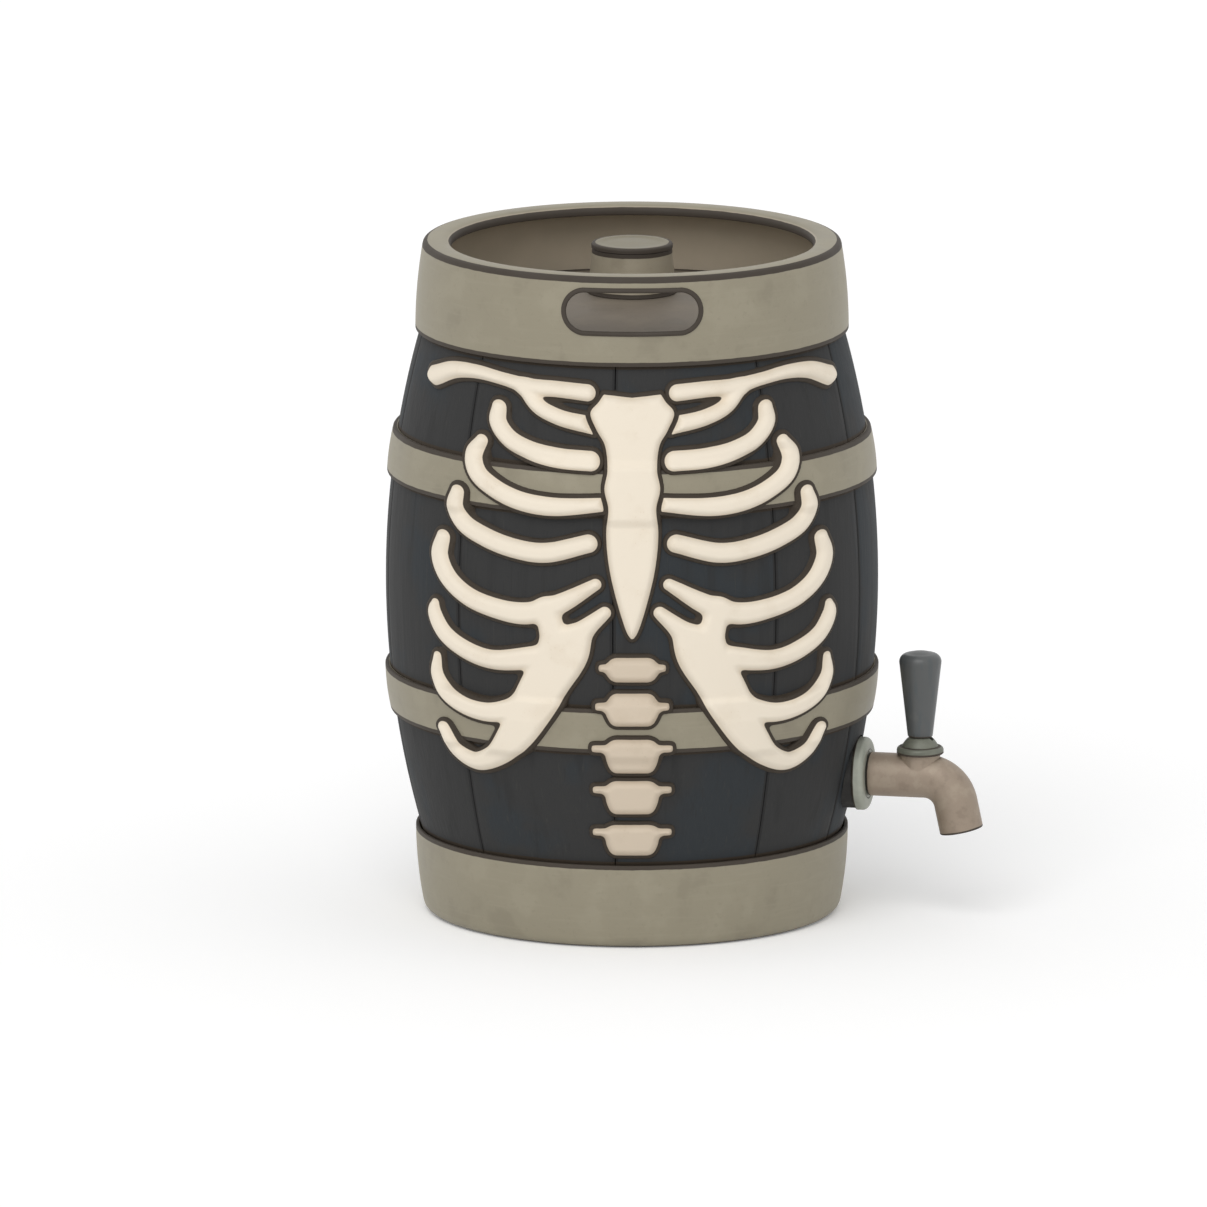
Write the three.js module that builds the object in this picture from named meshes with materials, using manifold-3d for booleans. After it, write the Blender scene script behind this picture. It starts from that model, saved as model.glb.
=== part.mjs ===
// A beer keg in a coopered barrel jacket: a steel vessel with a spear valve in its neck, ten painted staves,
// two riveted hoops, a rolled chime at each end, a side tap and a rib cage of moulded bones on the front.
// Millimetres, +Z up. The bones face -Y and the tap points towards +X.

import * as THREE from "three";
import { mergeVertices } from "three/addons/utils/BufferGeometryUtils.js";
import Module from "manifold-3d";

const wasm = await Module();
wasm.setup();

// Driving sizes of the whole keg.
const overallHeight = 594;
const bulgeRadius = 215;
const bulge = 30.5; // how far the staves swell out past their radius where they go under a chime
const topChimeHeight = 78;
const footChimeHeight = 75;
const clearance = 0.35; // left between pieces that seat on each other
const overrun = 2; // how far a cutter runs past the faces that it cuts

// Staves. A joint angle is where one stave meets the next, in degrees round from the front to the tap side.
const stave = { thickness: 14, tuck: 14, joint: 0.5 };
const staveJointAngles = [-44.5, -4.5, 35.5, 67, 93, 130, 167, 204, 242, 279];
const tappedStave = 3; // counted from 0, the stave that the tap's shank goes through

// Hoops, and the lap and two rivets at the back of each.
const hoop = { width: 40, thickness: 5, crown: 0.8, edge: 1.2, belowTop: 107, aboveFoot: 124 };
const lap = { thickness: 1.8, inset: 2.4, halfAngle: 12 };
const rivet = { shankRadius: 3, headRadius: 6.5, headHeight: 3, angle: 6 };

// Chimes. A rim's land is its flat stretch, in shares of the rim's width inwards from its outer edge.
const chime = { wall: 3.2, edge: 1.2 };
const topRim = { lean: 7, width: 24, corner: 4, landShares: [0.38, 0.63], lip: 9, lipRadius: 3.5 };
const footRim = { lean: 8, width: 24, corner: 8, landShares: [0.35, 0.85], lip: 8, lipRadius: 2 };
const handHole = { width: 119, height: 37.5, belowTop: 30.4 };

// Steel vessel.
const vessel = { wall: 2.5, skirt: 22, flange: 2.6, topRise: 14, footDrop: 10 };
const headShares = { flat: 0.27, middleRise: 0.7 };

// Neck of the vessel with its push-on cap, spear valve, seal and snap ring.
const neck = { topRadius: 35, flare: 4, wallAtTop: 9, ledge: 3, ledgeWidth: 4.3 };
const cap = { belowRim: 3, thickness: 4.6, overhang: 0.6, edge: 1.4, plugDepth: 7, plugWall: 3 };
const valve = { wall: 4.2, bodyBelow: 27, lip: 4, lipWidth: 5, foot: 3, footBore: 11.2 };
const seal = { height: 3.2 };
const snapRing = { height: 1.6, width: 4 };
const poppet = { disc: 5, nose: 3.2, noseEdge: 1, stemRadius: 4.5, stem: 12 };
const spear = { radius: 8.5, wall: 1.3, flange: 2.4, aboveFoot: 12 };
const spring = { wireRadius: 1.1, turns: 5 };

// Tap, laid out along its own axis, which leans forward of the keg's +X side by the azimuth.
const tap = { azimuth: 12, height: 127 };
const spotFace = { proud: 1.7, radius: 33 };
const shank = { radius: 13, bore: 8, counterbore: 10.8, counterboreDepth: 20, intoBody: 17, pastNut: 6 };
const wallGasket = { radius: 31, thickness: 2.2, reach: 20 };
const flange = { radius: 32, thickness: 10.5, corner: 5 };
const innerGasket = { radius: 20, thickness: 5.5 };
const nut = { acrossFlats: 38, thickness: 9 };
const pipe = { radius: 19.5, bore: 11.5, straight: 49, bendRadius: 28, spoutTilt: 12 };
const spout = { length: 25.4, edge: 1.5 };
const seatRing = { bore: 8, thickness: 4 };
const boss = { radius: 17.5, rise: 0.4, toAxis: 44.6 };
const pivot = { aboveBoss: 0.7 };
const pocket = { radius: 8.8, depth: 6.6 };
const frictionWasher = { bore: 6.6, height: 5.4, gap: 0.35 };
const bonnet = { radius: 20.5, height: 6.5, corner: 3.5, domeRadius: 17, socketGap: 0.6, slotGap: 0.7 };
const lever = {
  ballRadius: 6.5,
  stemRadius: 3.5,
  fingerRadius: 1.7,
  tipRadius: 2.2,
  tipDrop: 15.6,
  intoHandle: 26,
};
const handle = {
  baseRadius: 10,
  baseEdge: 1,
  topRadius: 18.5,
  height: 76,
  corner: 7.5,
  crown: 2,
  cupGap: 0.7,
};
const plunger = { headRadius: 9.5, head: 3, stemRadius: 3.5 };
const spool = { coreRadius: 2.2, radius: 8, thickness: 3, gap: 0.7 };
const seatWasher = { radius: 9.5, thickness: 2.4, gap: 0.3 };
const handleSwing = 30; // degrees, towards the drinker

// Rib cage. It ends at these distances inside the bulge, above the foot chime and below the top one.
const cage = { side: 40, aboveFoot: 9, belowTop: 14 };
const bone = { flange: 3.6, flangeHeight: 1.8, height: 8, root: 8, step: 21, hoopRamp: 10 };
const boneShares = { crestInset: 0.4, widestStretch: 1.5, widthUnit: 0.4187 };
const sternum = { notch: 2.5 };
const vertebra = { bodyHalfWidth: 21.5, wingHalfHeight: 3.4, slope: 4.5 };

// Roundness of the turned pieces, as counts of flats, and of the barrel's long curve, as counts of levels.
const barrelFlats = 32;
const groundFlats = 48; // for the ground that the bones are fitted over
const neckFlats = 20;
const pieceFlats = 16;
const rivetFlats = 8;
const staveLevels = 2; // in each of the three stretches between hoops and ends
const degreesPerFlat = 9;
const bendFlats = 5;
const springFlatsPerTurn = 8;
const springSideFlats = 2; // for half the wire's section
const handHoleFlats = 4; // for half a round end
const boneEndFlats = 3; // for a round end

// Finishes.
const finishes = {
  paintedStave: { color: 0x3c3d3c, roughness: 0.62, metalness: 0 },
  agedSteel: { color: 0x938c79, roughness: 0.5, metalness: 0.4 },
  innerSteel: { color: 0x6b6357, roughness: 0.5, metalness: 0.4 },
  bone: { color: 0xf1e6d4, roughness: 0.7, metalness: 0 },
  darkerBone: { color: 0xcfc0aa, roughness: 0.7, metalness: 0 },
  rubber: { color: 0x24231f, roughness: 0.85, metalness: 0 },
  pewter: { color: 0x80857b, roughness: 0.55, metalness: 0.4 },
  bronze: { color: 0x978878, roughness: 0.5, metalness: 0.4 },
  handleResin: { color: 0x565857, roughness: 0.45, metalness: 0 },
  stainless: { color: 0xb4b2aa, roughness: 0.35, metalness: 0.8 },
};

const radians = THREE.MathUtils.degToRad;
const degrees = THREE.MathUtils.radToDeg;
const keg = new THREE.Group();

// Solids and geometries.

function toSolid(geometry) {
  const open = geometry.clone();
  open.deleteAttribute("normal");
  open.deleteAttribute("uv");
  const merged = mergeVertices(open);
  return new wasm.Manifold(
    new wasm.Mesh({
      numProp: 3,
      vertProperties: new Float32Array(merged.attributes.position.array),
      triVerts: new Uint32Array(merged.index.array),
    }),
  );
}

function toGeometry(solid) {
  const { numVert, numProp, vertProperties, triVerts } = solid.getMesh();
  const positions = new Float32Array(numVert * 3);
  for (let i = 0; i < numVert; i += 1) {
    positions.set(vertProperties.subarray(i * numProp, i * numProp + 3), i * 3);
  }
  const geometry = new THREE.BufferGeometry();
  geometry.setAttribute("position", new THREE.BufferAttribute(positions, 3));
  geometry.setIndex(new THREE.BufferAttribute(new Uint32Array(triVerts), 1));
  return geometry;
}

function cut(geometry, ...cutters) {
  return toGeometry(cutters.reduce((solid, cutter) => solid.subtract(toSolid(cutter)), toSolid(geometry)));
}

function join(...geometries) {
  return toGeometry(geometries.map(toSolid).reduce((whole, solid) => whole.add(solid)));
}

function common(a, b) {
  return toGeometry(toSolid(a).intersect(toSolid(b)));
}

// A closed geometry from points and triangles, with its faces turned outwards.
function closedGeometry(points, triangles) {
  const volume = triangles.reduce((sum, [a, b, c]) => {
    const normal = new THREE.Vector3().crossVectors(points[b], points[c]);
    return sum + points[a].dot(normal);
  }, 0);
  const faces = volume < 0 ? triangles.map(([a, b, c]) => [a, c, b]) : triangles;
  const geometry = new THREE.BufferGeometry().setFromPoints(points);
  geometry.setIndex(faces.flat());
  return geometry;
}

// The side faces between neighbouring loops of equally many points.
function bandTriangles(loopCount, count) {
  const triangles = [];
  for (let loop = 0; loop < loopCount - 1; loop += 1) {
    for (let i = 0; i < count; i += 1) {
      const a = loop * count + i;
      const b = loop * count + ((i + 1) % count);
      triangles.push([a, b, b + count], [a, b + count, a + count]);
    }
  }
  return triangles;
}

// Loops of equally many points joined into a solid. The triangles of its end, in counts along a loop,
// close the last loop, and the same ones turned round close the first.
function lofted(loops, endTriangles) {
  const count = loops[0].length;
  const last = (loops.length - 1) * count;
  const ends = endTriangles.flatMap(([a, b, c]) => [
    [a, c, b],
    [last + a, last + b, last + c],
  ]);
  return closedGeometry(loops.flat(), [...bandTriangles(loops.length, count), ...ends]);
}

// A body turned about Z from a closed profile of [radius, height] points.
function turned(profile, flats) {
  const points = profile.map(([radius, height]) => new THREE.Vector2(radius, height));
  if (THREE.ShapeUtils.area(points) < 0) points.reverse();
  const onAxis = (point) => point.x === 0;
  if (points.some(onAxis)) {
    while (!(onAxis(points[0]) && onAxis(points.at(-1)))) points.push(points.shift());
  } else {
    points.push(points[0].clone());
  }
  return new THREE.LatheGeometry(points, flats).rotateX(Math.PI / 2);
}

// The corner radius of a round hole whose flats stay outside the given radius.
function holeRadius(radius, flats) {
  return radius / Math.cos(Math.PI / flats);
}

// A disc or rod about Z.
function rod(radius, from, to, flats = pieceFlats) {
  return turned([[0, from], [radius, from], [radius, to], [0, to]], flats);
}

// A pipe or ring about Z.
function ring(bore, outer, from, to, flats = pieceFlats) {
  const inner = holeRadius(bore, flats);
  return turned([[inner, from], [outer, from], [outer, to], [inner, to]], flats);
}

// A cutter for a round hole about Z.
function drill(radius, from, to, flats = pieceFlats) {
  return rod(holeRadius(radius, flats), from, to, flats);
}

// Geometry made about Z, laid along +X.
function alongX(geometry) {
  return geometry.rotateY(Math.PI / 2);
}

// Evenly spaced values from one to another, both included.
function steps(from, to, count) {
  return Array.from({ length: count + 1 }, (_, i) => from + ((to - from) * i) / count);
}

// Points of [radius, height] on an arc about a centre, between two angles up from the outward direction.
function arcPoints(radius, centreRadius, centreHeight, from, to, count) {
  return steps(from, to, count).map((angle) => [
    centreRadius + radius * Math.cos(radians(angle)),
    centreHeight + radius * Math.sin(radians(angle)),
  ]);
}

function addPiece(name, geometry, finish, parent = keg) {
  const mesh = new THREE.Mesh(geometry, new THREE.MeshStandardMaterial(finishes[finish]));
  mesh.name = name;
  parent.add(mesh);
}

// The barrel's surface: an arc that bulges between the two chimes.

const topEdge = overallHeight - topChimeHeight;
const visibleHalf = (topEdge - footChimeHeight) / 2;
const barrelMiddle = footChimeHeight + visibleHalf;
const chimeEdgeRadius = bulgeRadius - bulge;
const staveArc = (visibleHalf ** 2 + bulge ** 2) / (2 * bulge);

function staveRadius(height) {
  return bulgeRadius - staveArc + Math.sqrt(staveArc ** 2 - (height - barrelMiddle) ** 2);
}

// Staves.

const staveBottom = footChimeHeight - stave.tuck;
const staveTop = topEdge + stave.tuck;
const hoopMiddles = {
  upper: topEdge - hoop.belowTop,
  lower: footChimeHeight + hoop.aboveFoot,
};
const hoopHalf = hoop.width / 2;
const staveHeights = [
  ...steps(staveBottom, hoopMiddles.lower - hoopHalf, staveLevels),
  ...steps(hoopMiddles.lower + hoopHalf, hoopMiddles.upper - hoopHalf, staveLevels),
  ...steps(hoopMiddles.upper + hoopHalf, staveTop, staveLevels),
];

// A panel of the barrel between two surfaces, at the given angles and heights.
function barrelPanel(angles, heights, outer, inner) {
  const point = (radius, angle, height) =>
    new THREE.Vector3(radius * Math.sin(radians(angle)), -radius * Math.cos(radians(angle)), height);
  const loops = heights.map((height) => [
    ...angles.map((angle) => point(outer(height), angle, height)),
    ...angles.toReversed().map((angle) => point(inner(height), angle, height)),
  ]);
  const ends = angles.slice(1).flatMap((_, i) => {
    const across = 2 * angles.length - 1 - i;
    return [
      [i, across - 1, across],
      [i, i + 1, across - 1],
    ];
  });
  return lofted(loops, ends);
}

function stavePanel(index) {
  const gap = degrees(stave.joint / bulgeRadius) / 2;
  const from = staveJointAngles[index];
  const last = index + 1 === staveJointAngles.length;
  const to = last ? staveJointAngles[0] + 360 : staveJointAngles[index + 1];
  const angles = steps(from + gap, to - gap, Math.round((to - from) / degreesPerFlat));
  const inner = (height) => holeRadius(staveRadius(height) - stave.thickness, 360 / (angles[1] - angles[0]));
  return barrelPanel(angles, staveHeights, staveRadius, inner);
}

// Hoops with a riveted lap at the back.

function hoopOuter(height) {
  return staveRadius(height) + hoop.thickness;
}

function lapOuter(height) {
  return hoopOuter(height) + lap.thickness;
}

// The band's section. It grows outwards and is sunk inwards to make the cutter for what lies over the band.
function hoopProfile(middle, grown = 0, sunk = 0) {
  const bottom = middle - hoopHalf - grown;
  const top = middle + hoopHalf + grown;
  const side = (height) => hoopOuter(height) - hoop.crown + grown;
  const bore = (height) => holeRadius(staveRadius(height) + clearance - sunk, barrelFlats);
  return [
    [side(bottom) - hoop.edge, bottom],
    [side(bottom), bottom + hoop.edge],
    [side(middle) + hoop.crown, middle],
    [side(top), top - hoop.edge],
    [side(top) - hoop.edge, top],
    [bore(top), top],
    [bore(bottom), bottom],
  ];
}

// Geometry made about Z, turned to point squarely out of the keg's back at an angle and height.
function toBack(geometry, angle, height) {
  const radius = staveRadius(height);
  const lean = Math.asin((height - barrelMiddle) / staveArc);
  const upright = geometry.rotateX(-Math.PI / 2).translate(0, -radius, 0);
  return upright.rotateX(lean).translate(0, radius, height).rotateZ(radians(angle));
}

function rivetHole(angle, height) {
  const from = staveRadius(height) - overrun;
  const to = lapOuter(height) + overrun;
  return toBack(drill(rivet.shankRadius + clearance, from, to, rivetFlats), angle, height);
}

function hoopBand(middle) {
  const reach = hoopHalf - lap.inset;
  const angles = steps(180 - lap.halfAngle, 180 + lap.halfAngle, 4);
  const heights = steps(middle - reach, middle + reach, 2);
  const tongue = barrelPanel(angles, heights, lapOuter, (height) => hoopOuter(height) - hoop.thickness / 2);
  const band = join(turned(hoopProfile(middle), barrelFlats), tongue);
  return cut(band, rivetHole(-rivet.angle, middle), rivetHole(rivet.angle, middle));
}

function rivetBody(angle, height) {
  const root = staveRadius(height) + clearance;
  const seat = lapOuter(height) + clearance;
  const profile = [
    [0, root],
    [rivet.shankRadius, root],
    [rivet.shankRadius, seat],
    [rivet.headRadius, seat],
    [rivet.headRadius / 2, seat + rivet.headHeight],
    [0, seat + rivet.headHeight],
  ];
  return toBack(turned(profile, rivetFlats), angle, height);
}

// Chimes: a wall that leans in away from the barrel, and on it a rolled-in rim that ends in a lip.

const chimeInner = holeRadius(chimeEdgeRadius + clearance, barrelFlats);

// The chime's outer radius at a distance from its barrel edge towards its rim.
function chimeOuter(rim, height, distance) {
  return chimeInner + chime.wall - rim.lean * (distance / height) ** 2;
}

function wallProfile(rim, height) {
  const outer = (distance) => chimeOuter(rim, height, distance);
  const top = height - rim.corner - clearance;
  return [
    [outer(0) - chime.edge, 0],
    [outer(chime.edge), chime.edge],
    [outer(height / 2), height / 2],
    [outer(top), top],
    [outer(top) - chime.wall, top],
    [outer(height / 2) - chime.wall, height / 2],
    [outer(0) - chime.wall, 0],
  ];
}

function rimProfile(rim, height) {
  const root = chimeOuter(rim, height, height - rim.corner);
  const rimRadius = chimeOuter(rim, height, height);
  const [landOuter, landInner] = rim.landShares.map((share) => rimRadius - rim.width * share);
  const inner = rimRadius - rim.width;
  const underside = height - chime.wall;
  return [
    [root, height - rim.corner],
    [rimRadius - rim.corner / 3, height - rim.corner / 3],
    [landOuter, height],
    [landInner, height],
    [inner, height - rim.lipRadius],
    [inner, height - rim.lip],
    [inner + chime.wall, height - rim.lip],
    [landInner, underside],
    [landOuter, underside],
    [root - chime.wall, height - rim.corner],
  ];
}

// A profile of a chime, whose heights are distances from its barrel edge, turned in its place.
function chimeRing(profile, edge, direction) {
  const place = ([radius, distance]) => [radius, edge + direction * distance];
  return turned(profile.map(place), barrelFlats);
}

// The hand-hole cutter, through the front of the top chime's wall.
function handHoleCutter() {
  const half = handHole.height / 2;
  const reach = handHole.width / 2 - half;
  const outline = new THREE.Shape();
  outline.absarc(reach, 0, half, -Math.PI / 2, Math.PI / 2);
  outline.absarc(-reach, 0, half, Math.PI / 2, (3 * Math.PI) / 2);
  const far = chimeInner + chime.wall + overrun;
  const near = chimeInner - topRim.width;
  const settings = { depth: far - near, bevelEnabled: false, curveSegments: handHoleFlats };
  const cutter = new THREE.ExtrudeGeometry(outline, settings);
  return cutter.rotateX(Math.PI / 2).translate(0, -near, overallHeight - handHole.belowTop);
}

// Steel vessel inside the staves: a shell in two halves that are welded half way between the hoops, and two
// heads with skirts and flanges.

function shellOuter(height) {
  return staveRadius(height) - stave.thickness - clearance;
}

function shellInner(height) {
  return shellOuter(height) - vessel.wall;
}

const shellHeights = [staveBottom + clearance, ...staveHeights.slice(1, -1), staveTop - clearance];

const shellWeld = (hoopMiddles.upper + hoopMiddles.lower) / 2;

function shellHalf(heights) {
  const outer = heights.map((height) => [shellOuter(height), height]);
  const inner = heights.toReversed().map((height) => [shellInner(height), height]);
  return turned([...outer, ...inner], barrelFlats);
}

function lowerShell() {
  const heights = shellHeights.filter((height) => height < shellWeld);
  return cut(shellHalf([...heights, shellWeld - clearance]), shankHole());
}

function upperShell() {
  return shellHalf([shellWeld, ...shellHeights.filter((height) => height > shellWeld)]);
}

// A head lies on the staves' end grain with its flange, and its skirt goes inside the shell.
function vesselHead(end, direction, chimeWall, rise, opening) {
  const seat = end + direction * clearance;
  const top = seat + direction * vessel.flange;
  const flangeRadius = chimeWall - clearance;
  const skirtEnd = end - direction * vessel.skirt;
  const skirtOuter = shellInner(end) - clearance;
  const skirtInner = skirtOuter - vessel.wall;
  const flat = skirtInner * headShares.flat;
  const middle = (flat + skirtInner) / 2;
  const crown = top + direction * rise;
  const middleCrown = top + direction * rise * headShares.middleRise;
  const inward = direction * vessel.wall;
  const hub = opening > 0 ? holeRadius(opening, barrelFlats) : 0;
  return turned(
    [
      [hub, crown],
      [flat, crown],
      [middle, middleCrown],
      [skirtInner - vessel.wall, top],
      [flangeRadius, top],
      [flangeRadius, seat],
      [skirtOuter, seat],
      [skirtOuter, skirtEnd],
      [skirtInner, skirtEnd],
      [skirtInner, top - inward],
      [middle, middleCrown - inward],
      [flat, crown - inward],
      [hub, crown - inward],
    ],
    barrelFlats,
  );
}

// Heights and radii through the neck, between the head and the cap.

const headTop = staveTop + clearance + vessel.flange + vessel.topRise;
const capTop = overallHeight - cap.belowRim;
const collarTop = capTop - cap.thickness - clearance;
const collarBottom = headTop + clearance;
const collarBore = neck.topRadius - neck.wallAtTop;
const ledgeBore = collarBore - neck.ledgeWidth;
const ledgeTop = collarBottom + neck.ledge;
const sealTop = ledgeTop + clearance + seal.height;
const plugBottom = collarTop - cap.plugDepth;
const snapRingTop = plugBottom - clearance;
const valveTop = snapRingTop - snapRing.height - clearance;
const valveOuter = collarBore - clearance;
const valveNeck = ledgeBore - clearance;
const valveBore = valveNeck - valve.wall;
const valveBottom = headTop - valve.bodyBelow;
const footTop = valveBottom + valve.foot;
const seatHeight = valveTop - valve.lip;
const lipBore = valveBore - valve.lipWidth;
const poppetTop = seatHeight - clearance;
const poppetBottom = poppetTop - poppet.disc;
const spearFlangeTop = footTop + clearance + spear.flange;

function neckCollar() {
  const bore = holeRadius(collarBore, neckFlats);
  const smallBore = holeRadius(ledgeBore, neckFlats);
  return turned(
    [
      [neck.topRadius + neck.flare, collarBottom],
      [neck.topRadius, collarTop],
      [bore, collarTop],
      [bore, ledgeTop],
      [smallBore, ledgeTop],
      [smallBore, collarBottom],
    ],
    neckFlats,
  );
}

function neckCap() {
  const outer = neck.topRadius + cap.overhang;
  const plugOuter = collarBore - clearance;
  const under = capTop - cap.thickness;
  return turned(
    [
      [0, capTop],
      [0, under],
      [plugOuter - cap.plugWall, under],
      [plugOuter - cap.plugWall, plugBottom],
      [plugOuter, plugBottom],
      [plugOuter, under],
      [outer, under],
      [outer, capTop - cap.edge],
      [outer - cap.edge, capTop],
    ],
    neckFlats,
  );
}

function valveBody() {
  const shoulder = sealTop + clearance;
  const radii = [lipBore, valveBore, valve.footBore];
  const [lip, bore, foot] = radii.map((radius) => holeRadius(radius, neckFlats));
  return turned(
    [
      [valveNeck, valveBottom],
      [valveNeck, shoulder],
      [valveOuter, shoulder],
      [valveOuter, valveTop],
      [lip, valveTop],
      [lip, seatHeight],
      [bore, seatHeight],
      [bore, footTop],
      [foot, footTop],
      [foot, valveBottom],
    ],
    neckFlats,
  );
}

function valvePoppet() {
  const disc = valveBore - clearance;
  const nose = lipBore - poppet.noseEdge;
  return turned(
    [
      [0, poppetBottom - poppet.stem],
      [poppet.stemRadius, poppetBottom - poppet.stem],
      [poppet.stemRadius, poppetBottom],
      [disc, poppetBottom],
      [disc, poppetTop],
      [nose, poppetTop],
      [nose - poppet.noseEdge, poppetTop + poppet.nose],
      [0, poppetTop + poppet.nose],
    ],
    neckFlats,
  );
}

function spearTube() {
  const flangeBottom = footTop + clearance;
  const headUnderside = staveBottom - clearance - vessel.flange - vessel.footDrop + vessel.wall;
  const foot = headUnderside + spear.aboveFoot;
  const bore = holeRadius(spear.radius - spear.wall, pieceFlats);
  const flangeRadius = valveBore - clearance;
  return turned(
    [
      [spear.radius, foot],
      [spear.radius, flangeBottom],
      [flangeRadius, flangeBottom],
      [flangeRadius, spearFlangeTop],
      [bore, spearFlangeTop],
      [bore, foot],
    ],
    pieceFlats,
  );
}

class Coil extends THREE.Curve {
  constructor(radius, bottom, top, turns) {
    super();
    Object.assign(this, { radius, bottom, top, turns });
  }

  getPoint(share, target = new THREE.Vector3()) {
    const angle = share * this.turns * 2 * Math.PI;
    const height = this.bottom + (this.top - this.bottom) * share;
    return target.set(this.radius * Math.cos(angle), this.radius * Math.sin(angle), height);
  }
}

// The spring stands on the spear's flange and pushes the poppet up against the lip.
function valveSpring() {
  const margin = spring.wireRadius + clearance;
  const radius = (poppet.stemRadius + valveBore) / 2;
  const section = new THREE.Shape();
  section.absarc(0, 0, spring.wireRadius, 0, 2 * Math.PI);
  return new THREE.ExtrudeGeometry(section, {
    steps: spring.turns * springFlatsPerTurn,
    curveSegments: springSideFlats,
    bevelEnabled: false,
    extrudePath: new Coil(radius, spearFlangeTop + margin, poppetBottom - margin, spring.turns),
  });
}

// Tap. Its pieces are made in a frame of their own: +X out from the keg's axis, and Z from the tap's axis.

const tapGroup = new THREE.Group();
tapGroup.rotation.z = -radians(tap.azimuth);
tapGroup.position.z = tap.height;
keg.add(tapGroup);

const tapWall = staveRadius(tap.height);
const spotPlane = tapWall + spotFace.proud;
const gasketFront = spotPlane + wallGasket.thickness;
const flangeFront = gasketFront + clearance + flange.thickness;
const bodyRoot = flangeFront + clearance;
const handleAxis = bodyRoot + boss.toAxis;
const shankEnd = bodyRoot + shank.intoBody;
const headFront = shankEnd - seatWasher.gap;
const washerFace = headFront + clearance + seatWasher.thickness;
const seatPlane = washerFace + seatWasher.gap;
const throatEnd = seatPlane + seatRing.thickness;
const innerGasketBack = shellInner(tap.height - innerGasket.radius) - innerGasket.thickness;
const nutFront = innerGasketBack - clearance;
const nutBack = nutFront - nut.thickness;
const bossTop = pipe.radius + boss.rise;
const pocketFloor = bossTop - pocket.depth;
const pivotHeight = bossTop + pivot.aboveBoss;
const stemTop = pivotHeight + bonnet.domeRadius + lever.intoHandle;

// Geometry made in the tap's frame, carried into the keg's.
function inKegFrame(geometry) {
  tapGroup.updateMatrixWorld();
  return geometry.applyMatrix4(tapGroup.matrixWorld);
}

// The space inside a turned surface of the barrel, in the tap's frame.
function barrelInside(heights, radius) {
  const profile = heights.map((height) => [holeRadius(radius(height), barrelFlats), height]);
  const space = turned([[0, heights[0]], ...profile, [0, heights.at(-1)]], barrelFlats);
  return space.translate(0, 0, -tap.height);
}

function shankHole() {
  return inKegFrame(alongX(drill(shank.radius + clearance, nutBack, flangeFront)));
}

function spotFaceCutter() {
  return inKegFrame(alongX(drill(spotFace.radius, spotPlane, bodyRoot)));
}

function tapShank() {
  const bore = holeRadius(shank.bore, pieceFlats);
  const counterbore = holeRadius(shank.counterbore, pieceFlats);
  const step = shankEnd - shank.counterboreDepth;
  const back = nutBack - shank.pastNut;
  const profile = [
    [shank.radius, back],
    [shank.radius, shankEnd],
    [counterbore, shankEnd],
    [counterbore, step],
    [bore, step],
    [bore, back],
  ];
  return alongX(turned(profile, pieceFlats));
}

function shankNut() {
  const hexagon = rod(holeRadius(nut.acrossFlats / 2, 6), nutBack, nutFront, 6);
  return alongX(cut(hexagon, drill(shank.radius + clearance, nutBack - overrun, nutFront + overrun)));
}

function innerGasketRing() {
  const blank = ring(shank.radius + clearance, innerGasket.radius, innerGasketBack, tapWall);
  const limit = (height) => (shellInner(height) - clearance) * Math.cos(Math.PI / barrelFlats) ** 2;
  return common(alongX(blank), barrelInside(shellHeights, limit));
}

function wallGasketRing() {
  const blank = ring(shank.radius + clearance, wallGasket.radius, spotPlane - wallGasket.reach, gasketFront);
  const barrel = barrelInside(staveHeights, (height) => staveRadius(height) + clearance);
  const behindFace = alongX(rod(spotFace.radius, 0, spotPlane + clearance));
  return cut(alongX(blank), common(barrel, behindFace));
}

function flangeDisc() {
  const back = gasketFront + clearance;
  const bore = holeRadius(shank.radius + clearance, pieceFlats);
  const profile = [
    [bore, back],
    [flange.radius - flange.corner / 4, back],
    [flange.radius, back + flange.corner / 4],
    ...arcPoints(flange.corner, flange.radius - flange.corner, flangeFront - flange.corner, 0, 90, 3),
    [bore, flangeFront],
  ];
  return alongX(turned(profile, neckFlats));
}

// A round bar along the pipe's centre-line: straight, bent downwards, and straight to the spout's end.
function pipeBar(radius, from, spoutLength, edge) {
  const bend = 90 - pipe.spoutTilt;
  const start = bodyRoot + pipe.straight;
  const loop = (x, z, angle, size) =>
    steps(0, 360, pieceFlats)
      .slice(1)
      .map((turn) => {
        const up = size * Math.cos(radians(turn));
        const across = size * Math.sin(radians(turn));
        const [ahead, rise] = [up * Math.sin(radians(angle)), up * Math.cos(radians(angle))];
        return new THREE.Vector3(x + ahead, across, z + rise);
      });
  const onBend = (angle) => [
    start + pipe.bendRadius * Math.sin(radians(angle)),
    pipe.bendRadius * (Math.cos(radians(angle)) - 1),
  ];
  const onSpout = (distance) => {
    const [x, z] = onBend(bend);
    return [x + distance * Math.cos(radians(bend)), z - distance * Math.sin(radians(bend))];
  };
  const loops = [
    loop(from, 0, 0, radius),
    ...steps(0, bend, bendFlats).map((angle) => loop(...onBend(angle), angle, radius)),
    loop(...onSpout(spoutLength - edge), bend, radius),
    loop(...onSpout(spoutLength), bend, radius - edge),
  ];
  const fan = steps(1, pieceFlats - 2, pieceFlats - 3).map((i) => [0, i, i + 1]);
  return lofted(loops, fan);
}

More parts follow.
